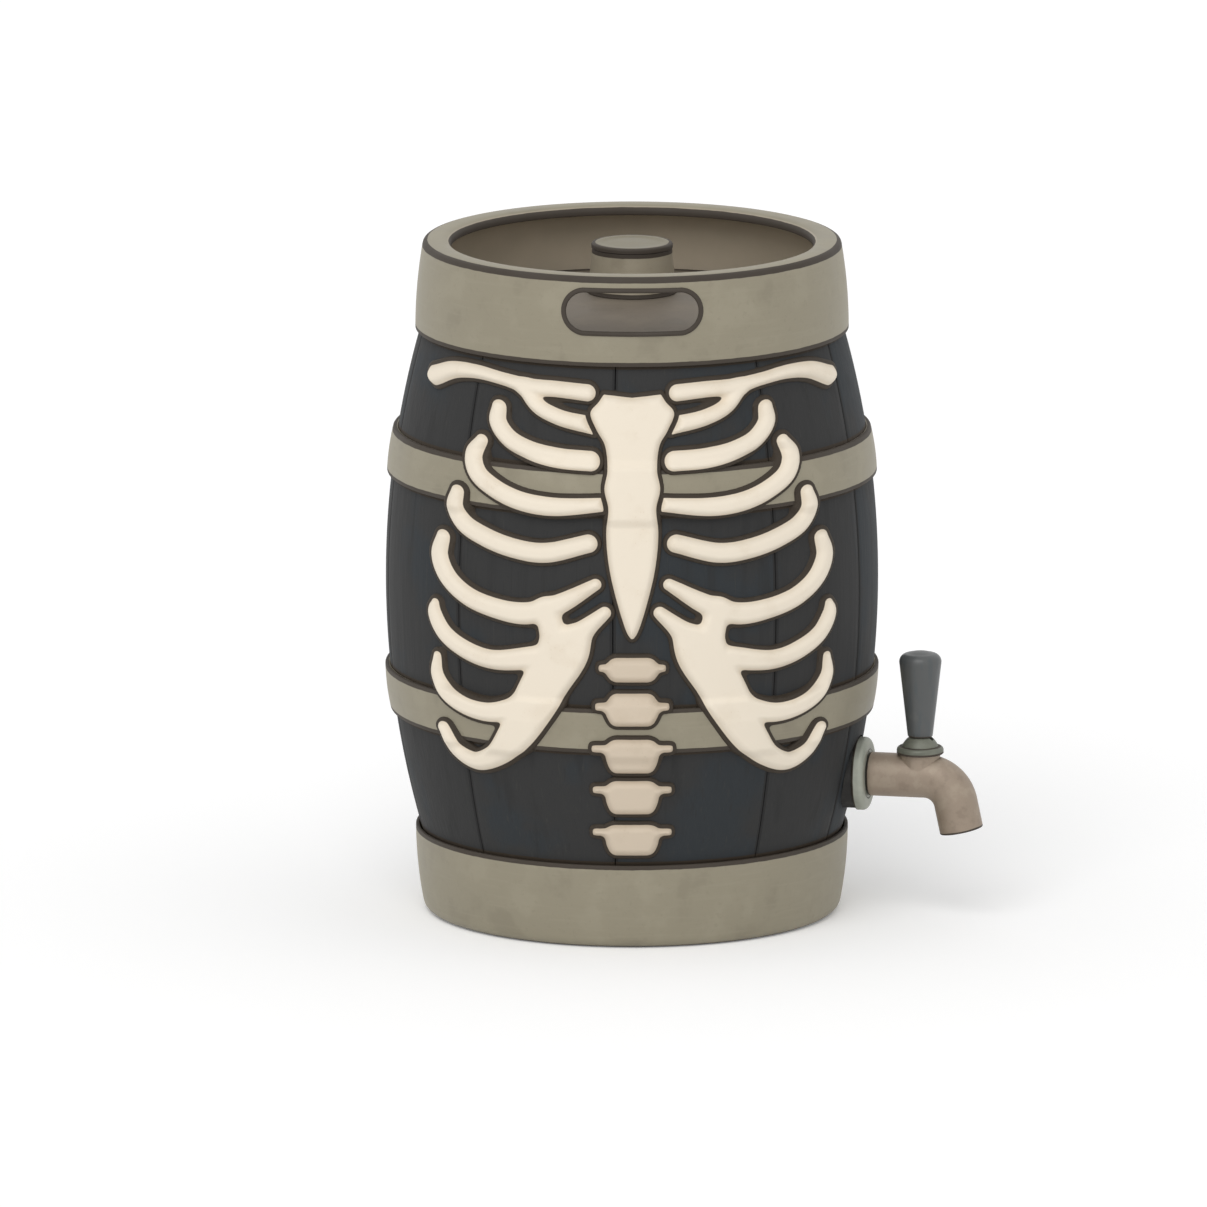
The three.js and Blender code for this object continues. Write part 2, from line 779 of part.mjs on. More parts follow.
// The slot for the lever's finger between the pocket and the bore, long enough for the whole swing.
function fingerSlot() {
  const bottom = pipe.bore / 2;
  const top = pocketFloor + overrun;
  const half = lever.fingerRadius + bonnet.slotGap;
  const swing = radians(handleSwing);
  const reach = (pivotHeight - pipe.bore) * Math.tan(swing) + half / Math.cos(swing);
  const slot = new THREE.BoxGeometry(reach + half, 2 * half, top - bottom);
  return slot.translate(handleAxis + (half - reach) / 2, 0, (top + bottom) / 2);
}

function faucetBody() {
  const outside = join(
    pipeBar(pipe.radius, bodyRoot, spout.length, spout.edge),
    rod(boss.radius, 0, bossTop, neckFlats).translate(handleAxis, 0, 0),
  );
  const socket = alongX(drill(shank.radius + clearance, bodyRoot - overrun, seatPlane));
  const throat = alongX(drill(seatRing.bore, bodyRoot, throatEnd + overrun));
  const bore = pipeBar(holeRadius(pipe.bore, pieceFlats), throatEnd, spout.length + overrun, overrun / 4);
  const pocketHole = drill(pocket.radius, pocketFloor, bossTop + overrun).translate(handleAxis, 0, 0);
  return cut(outside, socket, throat, bore, pocketHole, fingerSlot());
}

// The friction washer's upper inner edge is hollowed to the ball that sits in it.
function ballWasher() {
  const bottom = pocketFloor + clearance;
  const blank = ring(frictionWasher.bore, pocket.radius - clearance, bottom, bottom + frictionWasher.height);
  const radius = holeRadius(lever.ballRadius + frictionWasher.gap, pieceFlats);
  const ballSpace = new THREE.SphereGeometry(radius, pieceFlats, pieceFlats / 2);
  return cut(blank, ballSpace.rotateX(Math.PI / 2).translate(0, 0, pivotHeight)).translate(handleAxis, 0, 0);
}

// The slot that the lever's stem sweeps through the bonnet, as a prism across the tap.
function stemSlot() {
  const half = lever.stemRadius + bonnet.slotGap;
  const reach = bonnet.domeRadius + overrun + half;
  const sine = Math.sin(radians(handleSwing));
  const cosine = Math.cos(radians(handleSwing));
  const outline = new THREE.Shape([
    new THREE.Vector2(-half, 0),
    new THREE.Vector2(half * cosine, -half * sine),
    new THREE.Vector2(reach * sine + half * cosine, reach * cosine - half * sine),
    new THREE.Vector2(reach * sine, reach),
    new THREE.Vector2(-half, reach),
  ]);
  const prism = new THREE.ExtrudeGeometry(outline, { depth: 2 * half, bevelEnabled: false });
  return prism.rotateX(Math.PI / 2).translate(0, half, pivotHeight);
}

function bonnetShell() {
  const bottom = bossTop + clearance;
  const shoulder = bottom + bonnet.height;
  const domeStart = degrees(Math.asin((shoulder - pivotHeight) / bonnet.domeRadius));
  const socket = holeRadius(lever.ballRadius + bonnet.socketGap, pieceFlats);
  const socketStart = degrees(Math.asin((bottom - pivotHeight) / socket));
  const profile = [
    ...arcPoints(socket, 0, pivotHeight, 90, socketStart, 5).slice(1),
    [bonnet.radius, bottom],
    ...arcPoints(bonnet.corner, bonnet.radius - bonnet.corner, shoulder - bonnet.corner, 0, 90, 3),
    ...arcPoints(bonnet.domeRadius, 0, pivotHeight, domeStart, 90, 3).slice(0, -1),
    [0, pivotHeight + bonnet.domeRadius],
    [0, pivotHeight + socket],
  ];
  return cut(turned(profile, neckFlats), stemSlot()).translate(handleAxis, 0, 0);
}

function leverBody() {
  const { ballRadius, stemRadius, fingerRadius, tipRadius, tipDrop } = lever;
  const tipHeight = pivotHeight - tipDrop;
  const tipMeets = degrees(Math.acos(fingerRadius / tipRadius));
  const fingerMeets = -degrees(Math.acos(fingerRadius / ballRadius));
  const stemMeets = degrees(Math.acos(stemRadius / ballRadius));
  const profile = [
    [0, tipHeight - tipRadius],
    ...arcPoints(tipRadius, 0, tipHeight, -90, tipMeets, 3).slice(1),
    ...arcPoints(ballRadius, 0, pivotHeight, fingerMeets, stemMeets, 6),
    [stemRadius, stemTop],
    [0, stemTop],
  ];
  return turned(profile, pieceFlats).translate(handleAxis, 0, 0);
}

// The handle's underside is hollowed to the bonnet's dome, and the lever's stem goes up inside it.
function tapHandle() {
  const hole = holeRadius(lever.stemRadius + clearance, neckFlats);
  const cup = bonnet.domeRadius + handle.cupGap;
  const cupStart = degrees(Math.acos(hole / cup));
  const cupEnd = degrees(Math.acos(handle.baseRadius / cup));
  const base = pivotHeight + cup * Math.sin(radians(cupEnd));
  const top = base + handle.height;
  const { corner } = handle;
  const profile = [
    [0, stemTop + clearance],
    [hole, stemTop + clearance],
    ...arcPoints(cup, 0, pivotHeight, cupStart, cupEnd, 2),
    [handle.baseRadius + handle.baseEdge, base + handle.baseEdge],
    ...arcPoints(corner, handle.topRadius - corner, top - handle.crown - corner, 0, 90, 3),
    [0, top],
  ];
  return turned(profile, neckFlats).translate(handleAxis, 0, 0);
}

// The plunger: a head behind the seat washer, and a spool that the lever's finger works in.
function plungerBody() {
  const groove = lever.tipRadius + spool.gap;
  const back = handleAxis - groove - spool.thickness;
  const front = handleAxis + groove + spool.thickness;
  const profile = [
    [0, headFront - plunger.head],
    [plunger.headRadius, headFront - plunger.head],
    [plunger.headRadius, headFront],
    [plunger.stemRadius, headFront],
    [plunger.stemRadius, back],
    [spool.radius, back],
    [spool.radius, back + spool.thickness],
    [spool.coreRadius, back + spool.thickness],
    [spool.coreRadius, front - spool.thickness],
    [spool.radius, front - spool.thickness],
    [spool.radius, front],
    [0, front],
  ];
  return alongX(turned(profile, pieceFlats));
}

function seatWasherRing() {
  return alongX(ring(plunger.stemRadius + clearance, seatWasher.radius, headFront + clearance, washerFace));
}

// Rib cage. Each bone is a stroke along a centre-line, drawn as it is seen from the front, with a thin
// flange round it. A row is [across, up, half-width]: across is a share of the cage's half-width, negative on
// the viewer's left, up is a share of the cage's height, and half-width is a share of the bones' unit.

const clavicleShares = [
  [-1, 0.97, 0.046],
  [-0.89, 0.994, 0.04],
  [-0.77, 1, 0.034],
  [-0.63, 0.994, 0.032],
  [-0.5, 0.985, 0.04],
  [-0.36, 0.984, 0.04],
  [-0.22, 0.98, 0.042],
];
const firstRibShares = [
  [-0.52, 0.98, 0.04],
  [-0.46, 0.948, 0.04],
  [-0.36, 0.928, 0.04],
  [-0.19, 0.914, 0.044],
];
const secondRibShares = [
  [-0.65, 0.937, 0.036],
  [-0.655, 0.907, 0.044],
  [-0.6, 0.876, 0.046],
  [-0.5, 0.857, 0.046],
  [-0.36, 0.846, 0.048],
  [-0.205, 0.843, 0.048],
];
const thirdRibShares = [
  [-0.735, 0.865, 0.03],
  [-0.775, 0.833, 0.043],
  [-0.755, 0.8, 0.048],
  [-0.67, 0.773, 0.048],
  [-0.56, 0.755, 0.048],
  [-0.41, 0.747, 0.047],
  [-0.13, 0.756, 0.034],
];
const fourthRibShares = [
  [-0.855, 0.756, 0.032],
  [-0.868, 0.724, 0.042],
  [-0.825, 0.691, 0.048],
  [-0.72, 0.668, 0.05],
  [-0.58, 0.652, 0.05],
  [-0.43, 0.648, 0.05],
  [-0.215, 0.672, 0.046],
];
const fifthRibShares = [
  [-0.925, 0.654, 0.034],
  [-0.943, 0.615, 0.044],
  [-0.905, 0.573, 0.048],
  [-0.81, 0.54, 0.05],
  [-0.67, 0.522, 0.052],
  [-0.52, 0.518, 0.056],
  [-0.38, 0.538, 0.052],
  [-0.18, 0.587, 0.03],
];
const cageMarginShares = [
  [-0.135, 0.528, 0.032],
  [-0.24, 0.488, 0.055],
  [-0.335, 0.44, 0.12],
  [-0.41, 0.385, 0.115],
  [-0.49, 0.32, 0.105],
  [-0.575, 0.255, 0.085],
  [-0.665, 0.207, 0.06],
  [-0.76, 0.186, 0.047],
  [-0.86, 0.204, 0.038],
  [-0.925, 0.25, 0.03],
];
const cageNeckShares = [
  [-0.42, 0.53, 0.06],
  [-0.39, 0.48, 0.066],
  [-0.37, 0.42, 0.08],
];
const sixthRibShares = [
  [-0.965, 0.512, 0.02],
  [-0.968, 0.492, 0.036],
  [-0.92, 0.452, 0.044],
  [-0.82, 0.425, 0.048],
  [-0.69, 0.412, 0.05],
  [-0.48, 0.425, 0.06],
];
const seventhRibShares = [
  [-0.955, 0.4, 0.02],
  [-0.955, 0.36, 0.034],
  [-0.91, 0.327, 0.042],
  [-0.82, 0.306, 0.046],
  [-0.7, 0.3, 0.05],
  [-0.53, 0.32, 0.06],
];
const sternumShares = [
  [0, 0.978, 0.14],
  [0, 0.962, 0.165],
  [0, 0.94, 0.205],
  [0, 0.905, 0.175],
  [0, 0.875, 0.135],
  [0, 0.826, 0.122],
  [0, 0.787, 0.137],
  [0, 0.747, 0.118],
  [0, 0.696, 0.128],
  [0, 0.624, 0.114],
  [0, 0.543, 0.07],
  [0, 0.475, 0.022],
];

// A vertebra's row is [up, half its body's height, reach of its wings, rise of its wings]. The first two are
// shares of the cage's height, the reach is a share of its half-width, and the rise of the half height.
const vertebraShares = [
  [0.407, 0.0265, 0.166, 0.13],
  [0.3225, 0.0345, 0.183, 0.2],
  [0.2215, 0.0383, 0.2, 0.45],
  [0.13, 0.037, 0.194, 0.44],
  [0.0355, 0.0345, 0.194, 0.5],
];

const cageBottom = footChimeHeight + cage.aboveFoot;
const cageHeight = topEdge - cage.belowTop - cageBottom;
const cageHalfWidth = bulgeRadius - cage.side;
const boneUnit = cageHeight * boneShares.widthUnit;

// How far the ground that the bones lie on rises over a hoop.
function hoopRise(height) {
  const rises = Object.values(hoopMiddles).map((middle) => {
    const outside = Math.abs(height - middle) - hoopHalf;
    return hoop.thickness * (1 - THREE.MathUtils.smoothstep(outside, 0, bone.hoopRamp));
  });
  return Math.max(...rises);
}

// A point above the barrel's front, from its place as seen from the front.
function surfacePoint(across, height, above) {
  const ground = staveRadius(height) + hoopRise(height);
  const angle = Math.asin(across / ground);
  return new THREE.Vector3((ground + above) * Math.sin(angle), -(ground + above) * Math.cos(angle), height);
}

// How much narrower a bone is drawn across where the barrel turns away.
function narrowing(across, height) {
  const cosine = Math.sqrt(1 - (across / staveRadius(height)) ** 2);
  return Math.min(1, boneShares.widestStretch * cosine);
}

// A loop round a bone at a distance outside its edge. A rung is {x, y, half, along}, along being the
// centre-line's direction. The first end is round, or flat with a notch.
function boneLoop(rungs, notch, outside, above) {
  const place = (rung, forward, aside) => {
    const { x, y, along } = rung;
    const across = (along.x * forward - along.y * aside) * narrowing(x, y);
    return surfacePoint(x + across, y + along.y * forward + along.x * aside, above);
  };
  const half = (rung) => rung.half + outside(rung.half);
  const roundEnd = (rung, from) =>
    steps(from, from + 180, boneEndFlats)
      .slice(1, -1)
      .map((turn) => place(rung, half(rung) * Math.cos(radians(turn)), half(rung) * Math.sin(radians(turn))));
  const first = rungs[0];
  const back = notch > 0 ? -outside(first.half) : 0;
  const side = (sign) => rungs.map((rung, i) => place(rung, i === 0 ? back : 0, sign * half(rung)));
  const start = notch > 0 ? [place(first, back + notch, 0)] : roundEnd(first, 90);
  return [...side(-1), ...roundEnd(rungs.at(-1), -90), ...side(1).toReversed(), ...start];
}

// The triangles across a bone's crest, in counts along one of its loops.
function boneEndTriangles(rungCount, notch) {
  const last = rungCount - 1;
  const opposite = (i) => 2 * last + boneEndFlats - i;
  const start = opposite(0) + 1;
  const tip = steps(1, boneEndFlats - 1, boneEndFlats - 2).map((i) => [last, last + i, last + i + 1]);
  const rungs = steps(0, last - 1, last - 1).flatMap((i) => [
    [i, i + 1, opposite(i + 1)],
    [i, opposite(i + 1), opposite(i)],
  ]);
  if (notch > 0) {
    const round = [[0, 1, start], [1, opposite(1), start], [opposite(1), opposite(0), start]];
    return [...tip, ...rungs.slice(2), ...round];
  }
  const root = steps(0, boneEndFlats - 2, boneEndFlats - 2).map((i) => [0, start + i - 1, start + i]);
  return [...tip, ...rungs, ...root];
}

// A bone's solid, from a root below the ground to its crest. Grown makes the cutter for its neighbours.
function boneSolid(rungs, grown, notch = 0) {
  const edge = bone.flange + grown;
  const loops = [
    boneLoop(rungs, notch, () => edge, -bone.root),
    boneLoop(rungs, notch, () => edge, bone.flangeHeight + grown),
    boneLoop(rungs, notch, () => grown, bone.flangeHeight + grown),
    boneLoop(rungs, notch, (half) => grown - half * boneShares.crestInset, bone.height + grown),
  ];
  return lofted(loops, boneEndTriangles(rungs.length, notch));
}

// Rungs at even steps along a smooth curve through a table's places.
function smoothRungs(shares) {
  const places = shares.map(
    ([across, up, half]) =>
      new THREE.Vector3(across * cageHalfWidth, cageBottom + up * cageHeight, half * boneUnit),
  );
  const curve = new THREE.CatmullRomCurve3(places, false, "centripetal");
  const count = Math.ceil(curve.getLength() / bone.step);
  return steps(0, 1, count).map((share) => {
    const { x, y, z } = curve.getPointAt(share);
    const tangent = curve.getTangentAt(share);
    return { x, y, half: z, along: new THREE.Vector2(tangent.x, tangent.y).normalize() };
  });
}

function stroke(shares) {
  return boneSolid(smoothRungs(shares), 0);
}

function sternumBone(grown) {
  return boneSolid(smoothRungs(sternumShares), grown, sternum.notch);
}

function vertebraBone([up, halfShare, reachShare, riseShare], grown) {
  const { bodyHalfWidth, wingHalfHeight, slope } = vertebra;
  const height = cageBottom + up * cageHeight;
  const half = halfShare * cageHeight;
  const wing = height + riseShare * half;
  const spans = [
    [reachShare * cageHalfWidth - wingHalfHeight, wing - wingHalfHeight, wing + wingHalfHeight],
    [bodyHalfWidth + slope / 2, wing - wingHalfHeight, wing + wingHalfHeight],
    [bodyHalfWidth, height - half / 2, wing + wingHalfHeight + slope / 4],
    [bodyHalfWidth - slope, height - half, height + half],
  ];
  const rung = ([across, bottom, top], side) => ({
    x: side * across,
    y: (bottom + top) / 2,
    half: (top - bottom) / 2,
    along: new THREE.Vector2(1, 0),
  });
  const rungs = [...spans.map((span) => rung(span, -1)), ...spans.toReversed().map((span) => rung(span, 1))];
  return boneSolid(rungs, grown);
}

// The barrel with its hoops, grown by the clearance, which every bone is fitted over.
function groundCutter() {
  const outer = (height) => holeRadius(staveRadius(height) + clearance, groundFlats);
  const profile = staveHeights.map((height) => [outer(height), height]);
  const barrel = turned([[0, staveBottom], ...profile, [0, staveTop]], groundFlats);
  const band = (middle) => turned(hoopProfile(middle, clearance, stave.thickness), barrelFlats);
  return join(barrel, ...Object.values(hoopMiddles).map(band));
}

function mirrored(geometry) {
  const copy = geometry.clone().scale(-1, 1, 1);
  const { array } = copy.index;
  for (let i = 0; i < array.length; i += 3) [array[i], array[i + 1]] = [array[i + 1], array[i]];
  return copy;
}

function addRibCage() {
  const ground = groundCutter();
  addPiece("sternum", cut(sternumBone(0), ground), "bone");
  const lowerStrokes = [fifthRibShares, cageNeckShares, cageMarginShares, sixthRibShares, seventhRibShares];
  const pairs = {
    clavicle: join(stroke(clavicleShares), stroke(firstRibShares)),
    rib_2: stroke(secondRibShares),
    rib_3: stroke(thirdRibShares),
    rib_4: stroke(fourthRibShares),
    lower_ribs: join(...lowerStrokes.map(stroke)),
  };
  for (const [name, shape] of Object.entries(pairs)) {
    const fitted = cut(shape, ground, sternumBone(clearance));
    addPiece(`${name}_left`, fitted, "bone");
    addPiece(`${name}_right`, mirrored(fitted), "bone");
  }
  vertebraShares.forEach((shares, i) => {
    const above = i === 0 ? sternumBone(clearance) : vertebraBone(vertebraShares[i - 1], clearance);
    addPiece(`vertebra_${i + 1}`, cut(vertebraBone(shares, 0), ground, above), "darkerBone");
  });
}

// Assembly.

function addBarrel() {
  staveJointAngles.forEach((_, i) => {
    const plain = stavePanel(i);
    const panel = i === tappedStave ? cut(plain, shankHole(), spotFaceCutter()) : plain;
    addPiece(`stave_${i + 1}`, panel, "paintedStave");
  });
  for (const [name, middle] of Object.entries(hoopMiddles)) {
    addPiece(`hoop_${name}`, hoopBand(middle), "agedSteel");
    addPiece(`rivet_${name}_left`, rivetBody(rivet.angle, middle), "agedSteel");
    addPiece(`rivet_${name}_right`, rivetBody(-rivet.angle, middle), "agedSteel");
  }
  const topWall = chimeRing(wallProfile(topRim, topChimeHeight), topEdge, 1);
  addPiece("chime_top", cut(topWall, handHoleCutter()), "agedSteel");
  addPiece("rim_top", chimeRing(rimProfile(topRim, topChimeHeight), topEdge, 1), "agedSteel");
  const footWall = chimeRing(wallProfile(footRim, footChimeHeight), footChimeHeight, -1);
  addPiece("chime_bottom", footWall, "agedSteel");
  const footRing = chimeRing(rimProfile(footRim, footChimeHeight), footChimeHeight, -1);
  addPiece("rim_bottom", footRing, "agedSteel");
}

function addVessel() {
  const reach = stave.tuck + clearance + vessel.flange;
  const wallAt = (rim, height) => {
    const half = height / 2;
    return chimeInner + (chimeOuter(rim, height, half) - chime.wall - chimeInner) * (reach / half);
  };
  const topWall = wallAt(topRim, topChimeHeight);
  const footWall = wallAt(footRim, footChimeHeight);
  const opening = ledgeBore + clearance;
  addPiece("vessel_shell_upper", upperShell(), "innerSteel");
  addPiece("vessel_shell_lower", lowerShell(), "innerSteel");
  addPiece("top_head", vesselHead(staveTop, 1, topWall, vessel.topRise, opening), "innerSteel");
  addPiece("bottom_head", vesselHead(staveBottom, -1, footWall, vessel.footDrop, 0), "innerSteel");
}

function addNeck() {
  addPiece("neck_collar", neckCollar(), "innerSteel");
  addPiece("neck_cap", neckCap(), "agedSteel");
  addPiece("valve_body", valveBody(), "stainless");
  addPiece("valve_poppet", valvePoppet(), "rubber");
  addPiece("valve_spring", valveSpring(), "stainless");
  addPiece("spear_tube", spearTube(), "stainless");
  const sealRing = ring(valveNeck + clearance, valveOuter, ledgeTop + clearance, sealTop, neckFlats);
  addPiece("neck_seal", sealRing, "rubber");
  const snapRingBottom = snapRingTop - snapRing.height;
  const snap = ring(valveOuter - snapRing.width, valveOuter, snapRingBottom, snapRingTop, neckFlats);
  addPiece("retaining_ring", snap, "stainless");
}

function addTap() {
  addPiece("tap_shank", tapShank(), "stainless", tapGroup);
  addPiece("shank_lock_nut", shankNut(), "stainless", tapGroup);
  addPiece("inner_gasket", innerGasketRing(), "rubber", tapGroup);
  addPiece("wall_gasket", wallGasketRing(), "rubber", tapGroup);
  addPiece("tap_flange", flangeDisc(), "pewter", tapGroup);
  addPiece("faucet_body", faucetBody(), "bronze", tapGroup);
  addPiece("friction_washer", ballWasher(), "rubber", tapGroup);
  addPiece("bonnet", bonnetShell(), "pewter", tapGroup);
  addPiece("lever", leverBody(), "stainless", tapGroup);
  addPiece("tap_handle", tapHandle(), "handleResin", tapGroup);
  addPiece("plunger", plungerBody(), "stainless", tapGroup);
  addPiece("seat_washer", seatWasherRing(), "rubber", tapGroup);
}

addBarrel();
addVessel();
addNeck();
addTap();
addRibCage();

// The origin is on the floor, under the middle of the keg and its tap together.
const footprint = new THREE.Box3().setFromObject(keg).getCenter(new THREE.Vector3());
keg.position.set(-footprint.x, -footprint.y, 0);

export default keg;
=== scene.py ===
"""Looks of a keg in a barrel jacket with a moulded rib cage and a tap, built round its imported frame."""

import sys
import logging
import math
from dataclasses import dataclass
from enum import Enum
from typing import Any, Callable, Iterable, Optional, Sequence, Union

import bmesh
import bpy
import numpy as np
from mathutils import Matrix, Vector


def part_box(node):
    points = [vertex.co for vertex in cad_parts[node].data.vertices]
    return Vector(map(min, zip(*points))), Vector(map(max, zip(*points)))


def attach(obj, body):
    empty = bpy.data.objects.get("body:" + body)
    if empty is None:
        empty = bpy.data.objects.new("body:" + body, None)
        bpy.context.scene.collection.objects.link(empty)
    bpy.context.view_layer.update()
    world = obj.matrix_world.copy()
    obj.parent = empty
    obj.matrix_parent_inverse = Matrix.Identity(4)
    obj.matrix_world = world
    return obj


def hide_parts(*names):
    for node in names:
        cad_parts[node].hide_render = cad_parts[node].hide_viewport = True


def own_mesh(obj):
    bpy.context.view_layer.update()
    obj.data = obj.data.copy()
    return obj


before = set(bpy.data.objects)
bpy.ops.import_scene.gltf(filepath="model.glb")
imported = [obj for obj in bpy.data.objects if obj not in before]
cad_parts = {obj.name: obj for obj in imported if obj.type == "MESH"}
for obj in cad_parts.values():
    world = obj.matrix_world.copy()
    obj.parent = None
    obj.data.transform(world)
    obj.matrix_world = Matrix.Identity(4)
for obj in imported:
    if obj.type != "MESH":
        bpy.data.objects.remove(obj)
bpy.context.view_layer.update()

MM = 0.001
MERGE = 0.002  # vertices closer than this are one, in millimetres
REACH = 10.0  # how far from a lined edge, in millimetres, the edge attribute still counts
EDGE = "edge_closeness"
TONE = "board_tone"
INNER = "inner_side"
LINE = (57, 49, 40)

Colour = tuple[int, int, int]
Point = tuple[float, float]
Outline = Sequence[Point]
Shape = Callable[[np.ndarray], np.ndarray]
Inputs = dict[Any, Any]
Piece = bpy.types.Object
Material = bpy.types.Material
Node = bpy.types.Node
Socket = bpy.types.NodeSocket
log = logging.getLogger("keg")


class Slot(Enum):
    """The record's material slots."""

    STAVE = "painted_stave"
    AGED = "aged_steel"
    INNER = "inner_steel"
    STAINLESS = "stainless"
    RUBBER = "black_rubber"
    PEWTER = "pewter_metal"
    BRONZE = "bronze_metal"
    HANDLE = "handle_resin"
    BONE = "bone_resin"
    DARKER_BONE = "darker_bone_resin"


class Body(Enum):
    """The bodies that pieces ride on."""

    KEG = "keg"
    HANDLE = "handle"
    PLUNGER = "plunger"
    POPPET = "poppet"
    CAP = "cap"


def linear(colour: Colour) -> tuple[float, float, float, float]:
    """Turns a screen colour into a shader's linear one.

    Args:
        colour: red, green and blue from 0 to 255.

    Returns:
        Linear red, green, blue and an alpha of 1.
    """
    shares = [value / 255 for value in colour]
    red, green, blue = (s / 12.92 if s <= 0.04045 else ((s + 0.055) / 1.055) ** 2.4 for s in shares)
    return red, green, blue, 1.0


def spread(start: float, end: float, count: int) -> list[float]:
    """Spaces numbers evenly.

    Args:
        start: the first number.
        end: the last number.
        count: how many steps lie between them.

    Returns:
        The numbers, one more than the steps.
    """
    return [start + (end - start) * i / count for i in range(count + 1)]


def arc(radius: float, centre: Point, start: float, end: float, count: int) -> list[Point]:
    """Places points on an arc in the plane of a turned outline.

    Args:
        radius: the arc's radius.
        centre: the arc's centre, as (radius, height).
        start: the first angle up from the outward direction, in degrees.
        end: the last angle.
        count: how many steps lie between them.

    Returns:
        The points as (radius, height).
    """
    turns = [math.radians(angle) for angle in spread(start, end, count)]
    return [(centre[0] + radius * math.cos(t), centre[1] + radius * math.sin(t)) for t in turns]


def eased(share: np.ndarray) -> np.ndarray:
    """Turns a share of 0 to 1 into one that starts and ends level."""
    return share * share * (3 - 2 * share)


# Shader graph


class Channel:
    """A shader value that takes part in Python arithmetic."""

    def __init__(self, graph: "Graph", socket: Socket) -> None:
        """Wraps a socket of a graph."""
        self.graph = graph
        self.socket = socket

    def __add__(self, other: "Value") -> "Channel":
        """Adds."""
        return self.graph.maths("ADD", self, other)

    def __sub__(self, other: "Value") -> "Channel":
        """Subtracts."""
        return self.graph.maths("SUBTRACT", self, other)

    def __rsub__(self, other: float) -> "Channel":
        """Subtracts this from a number."""
        return self.graph.maths("SUBTRACT", other, self)

    def __mul__(self, other: "Value") -> "Channel":
        """Multiplies."""
        return self.graph.maths("MULTIPLY", self, other)

    def __abs__(self) -> "Channel":
        """Takes the sign off."""
        return self.graph.maths("ABSOLUTE", self, 0.0)

    def most(self, other: "Value") -> "Channel":
        """Takes the larger of two values."""
        return self.graph.maths("MAXIMUM", self, other)

    __radd__ = __add__
    __rmul__ = __mul__


Value = Union[float, Channel]


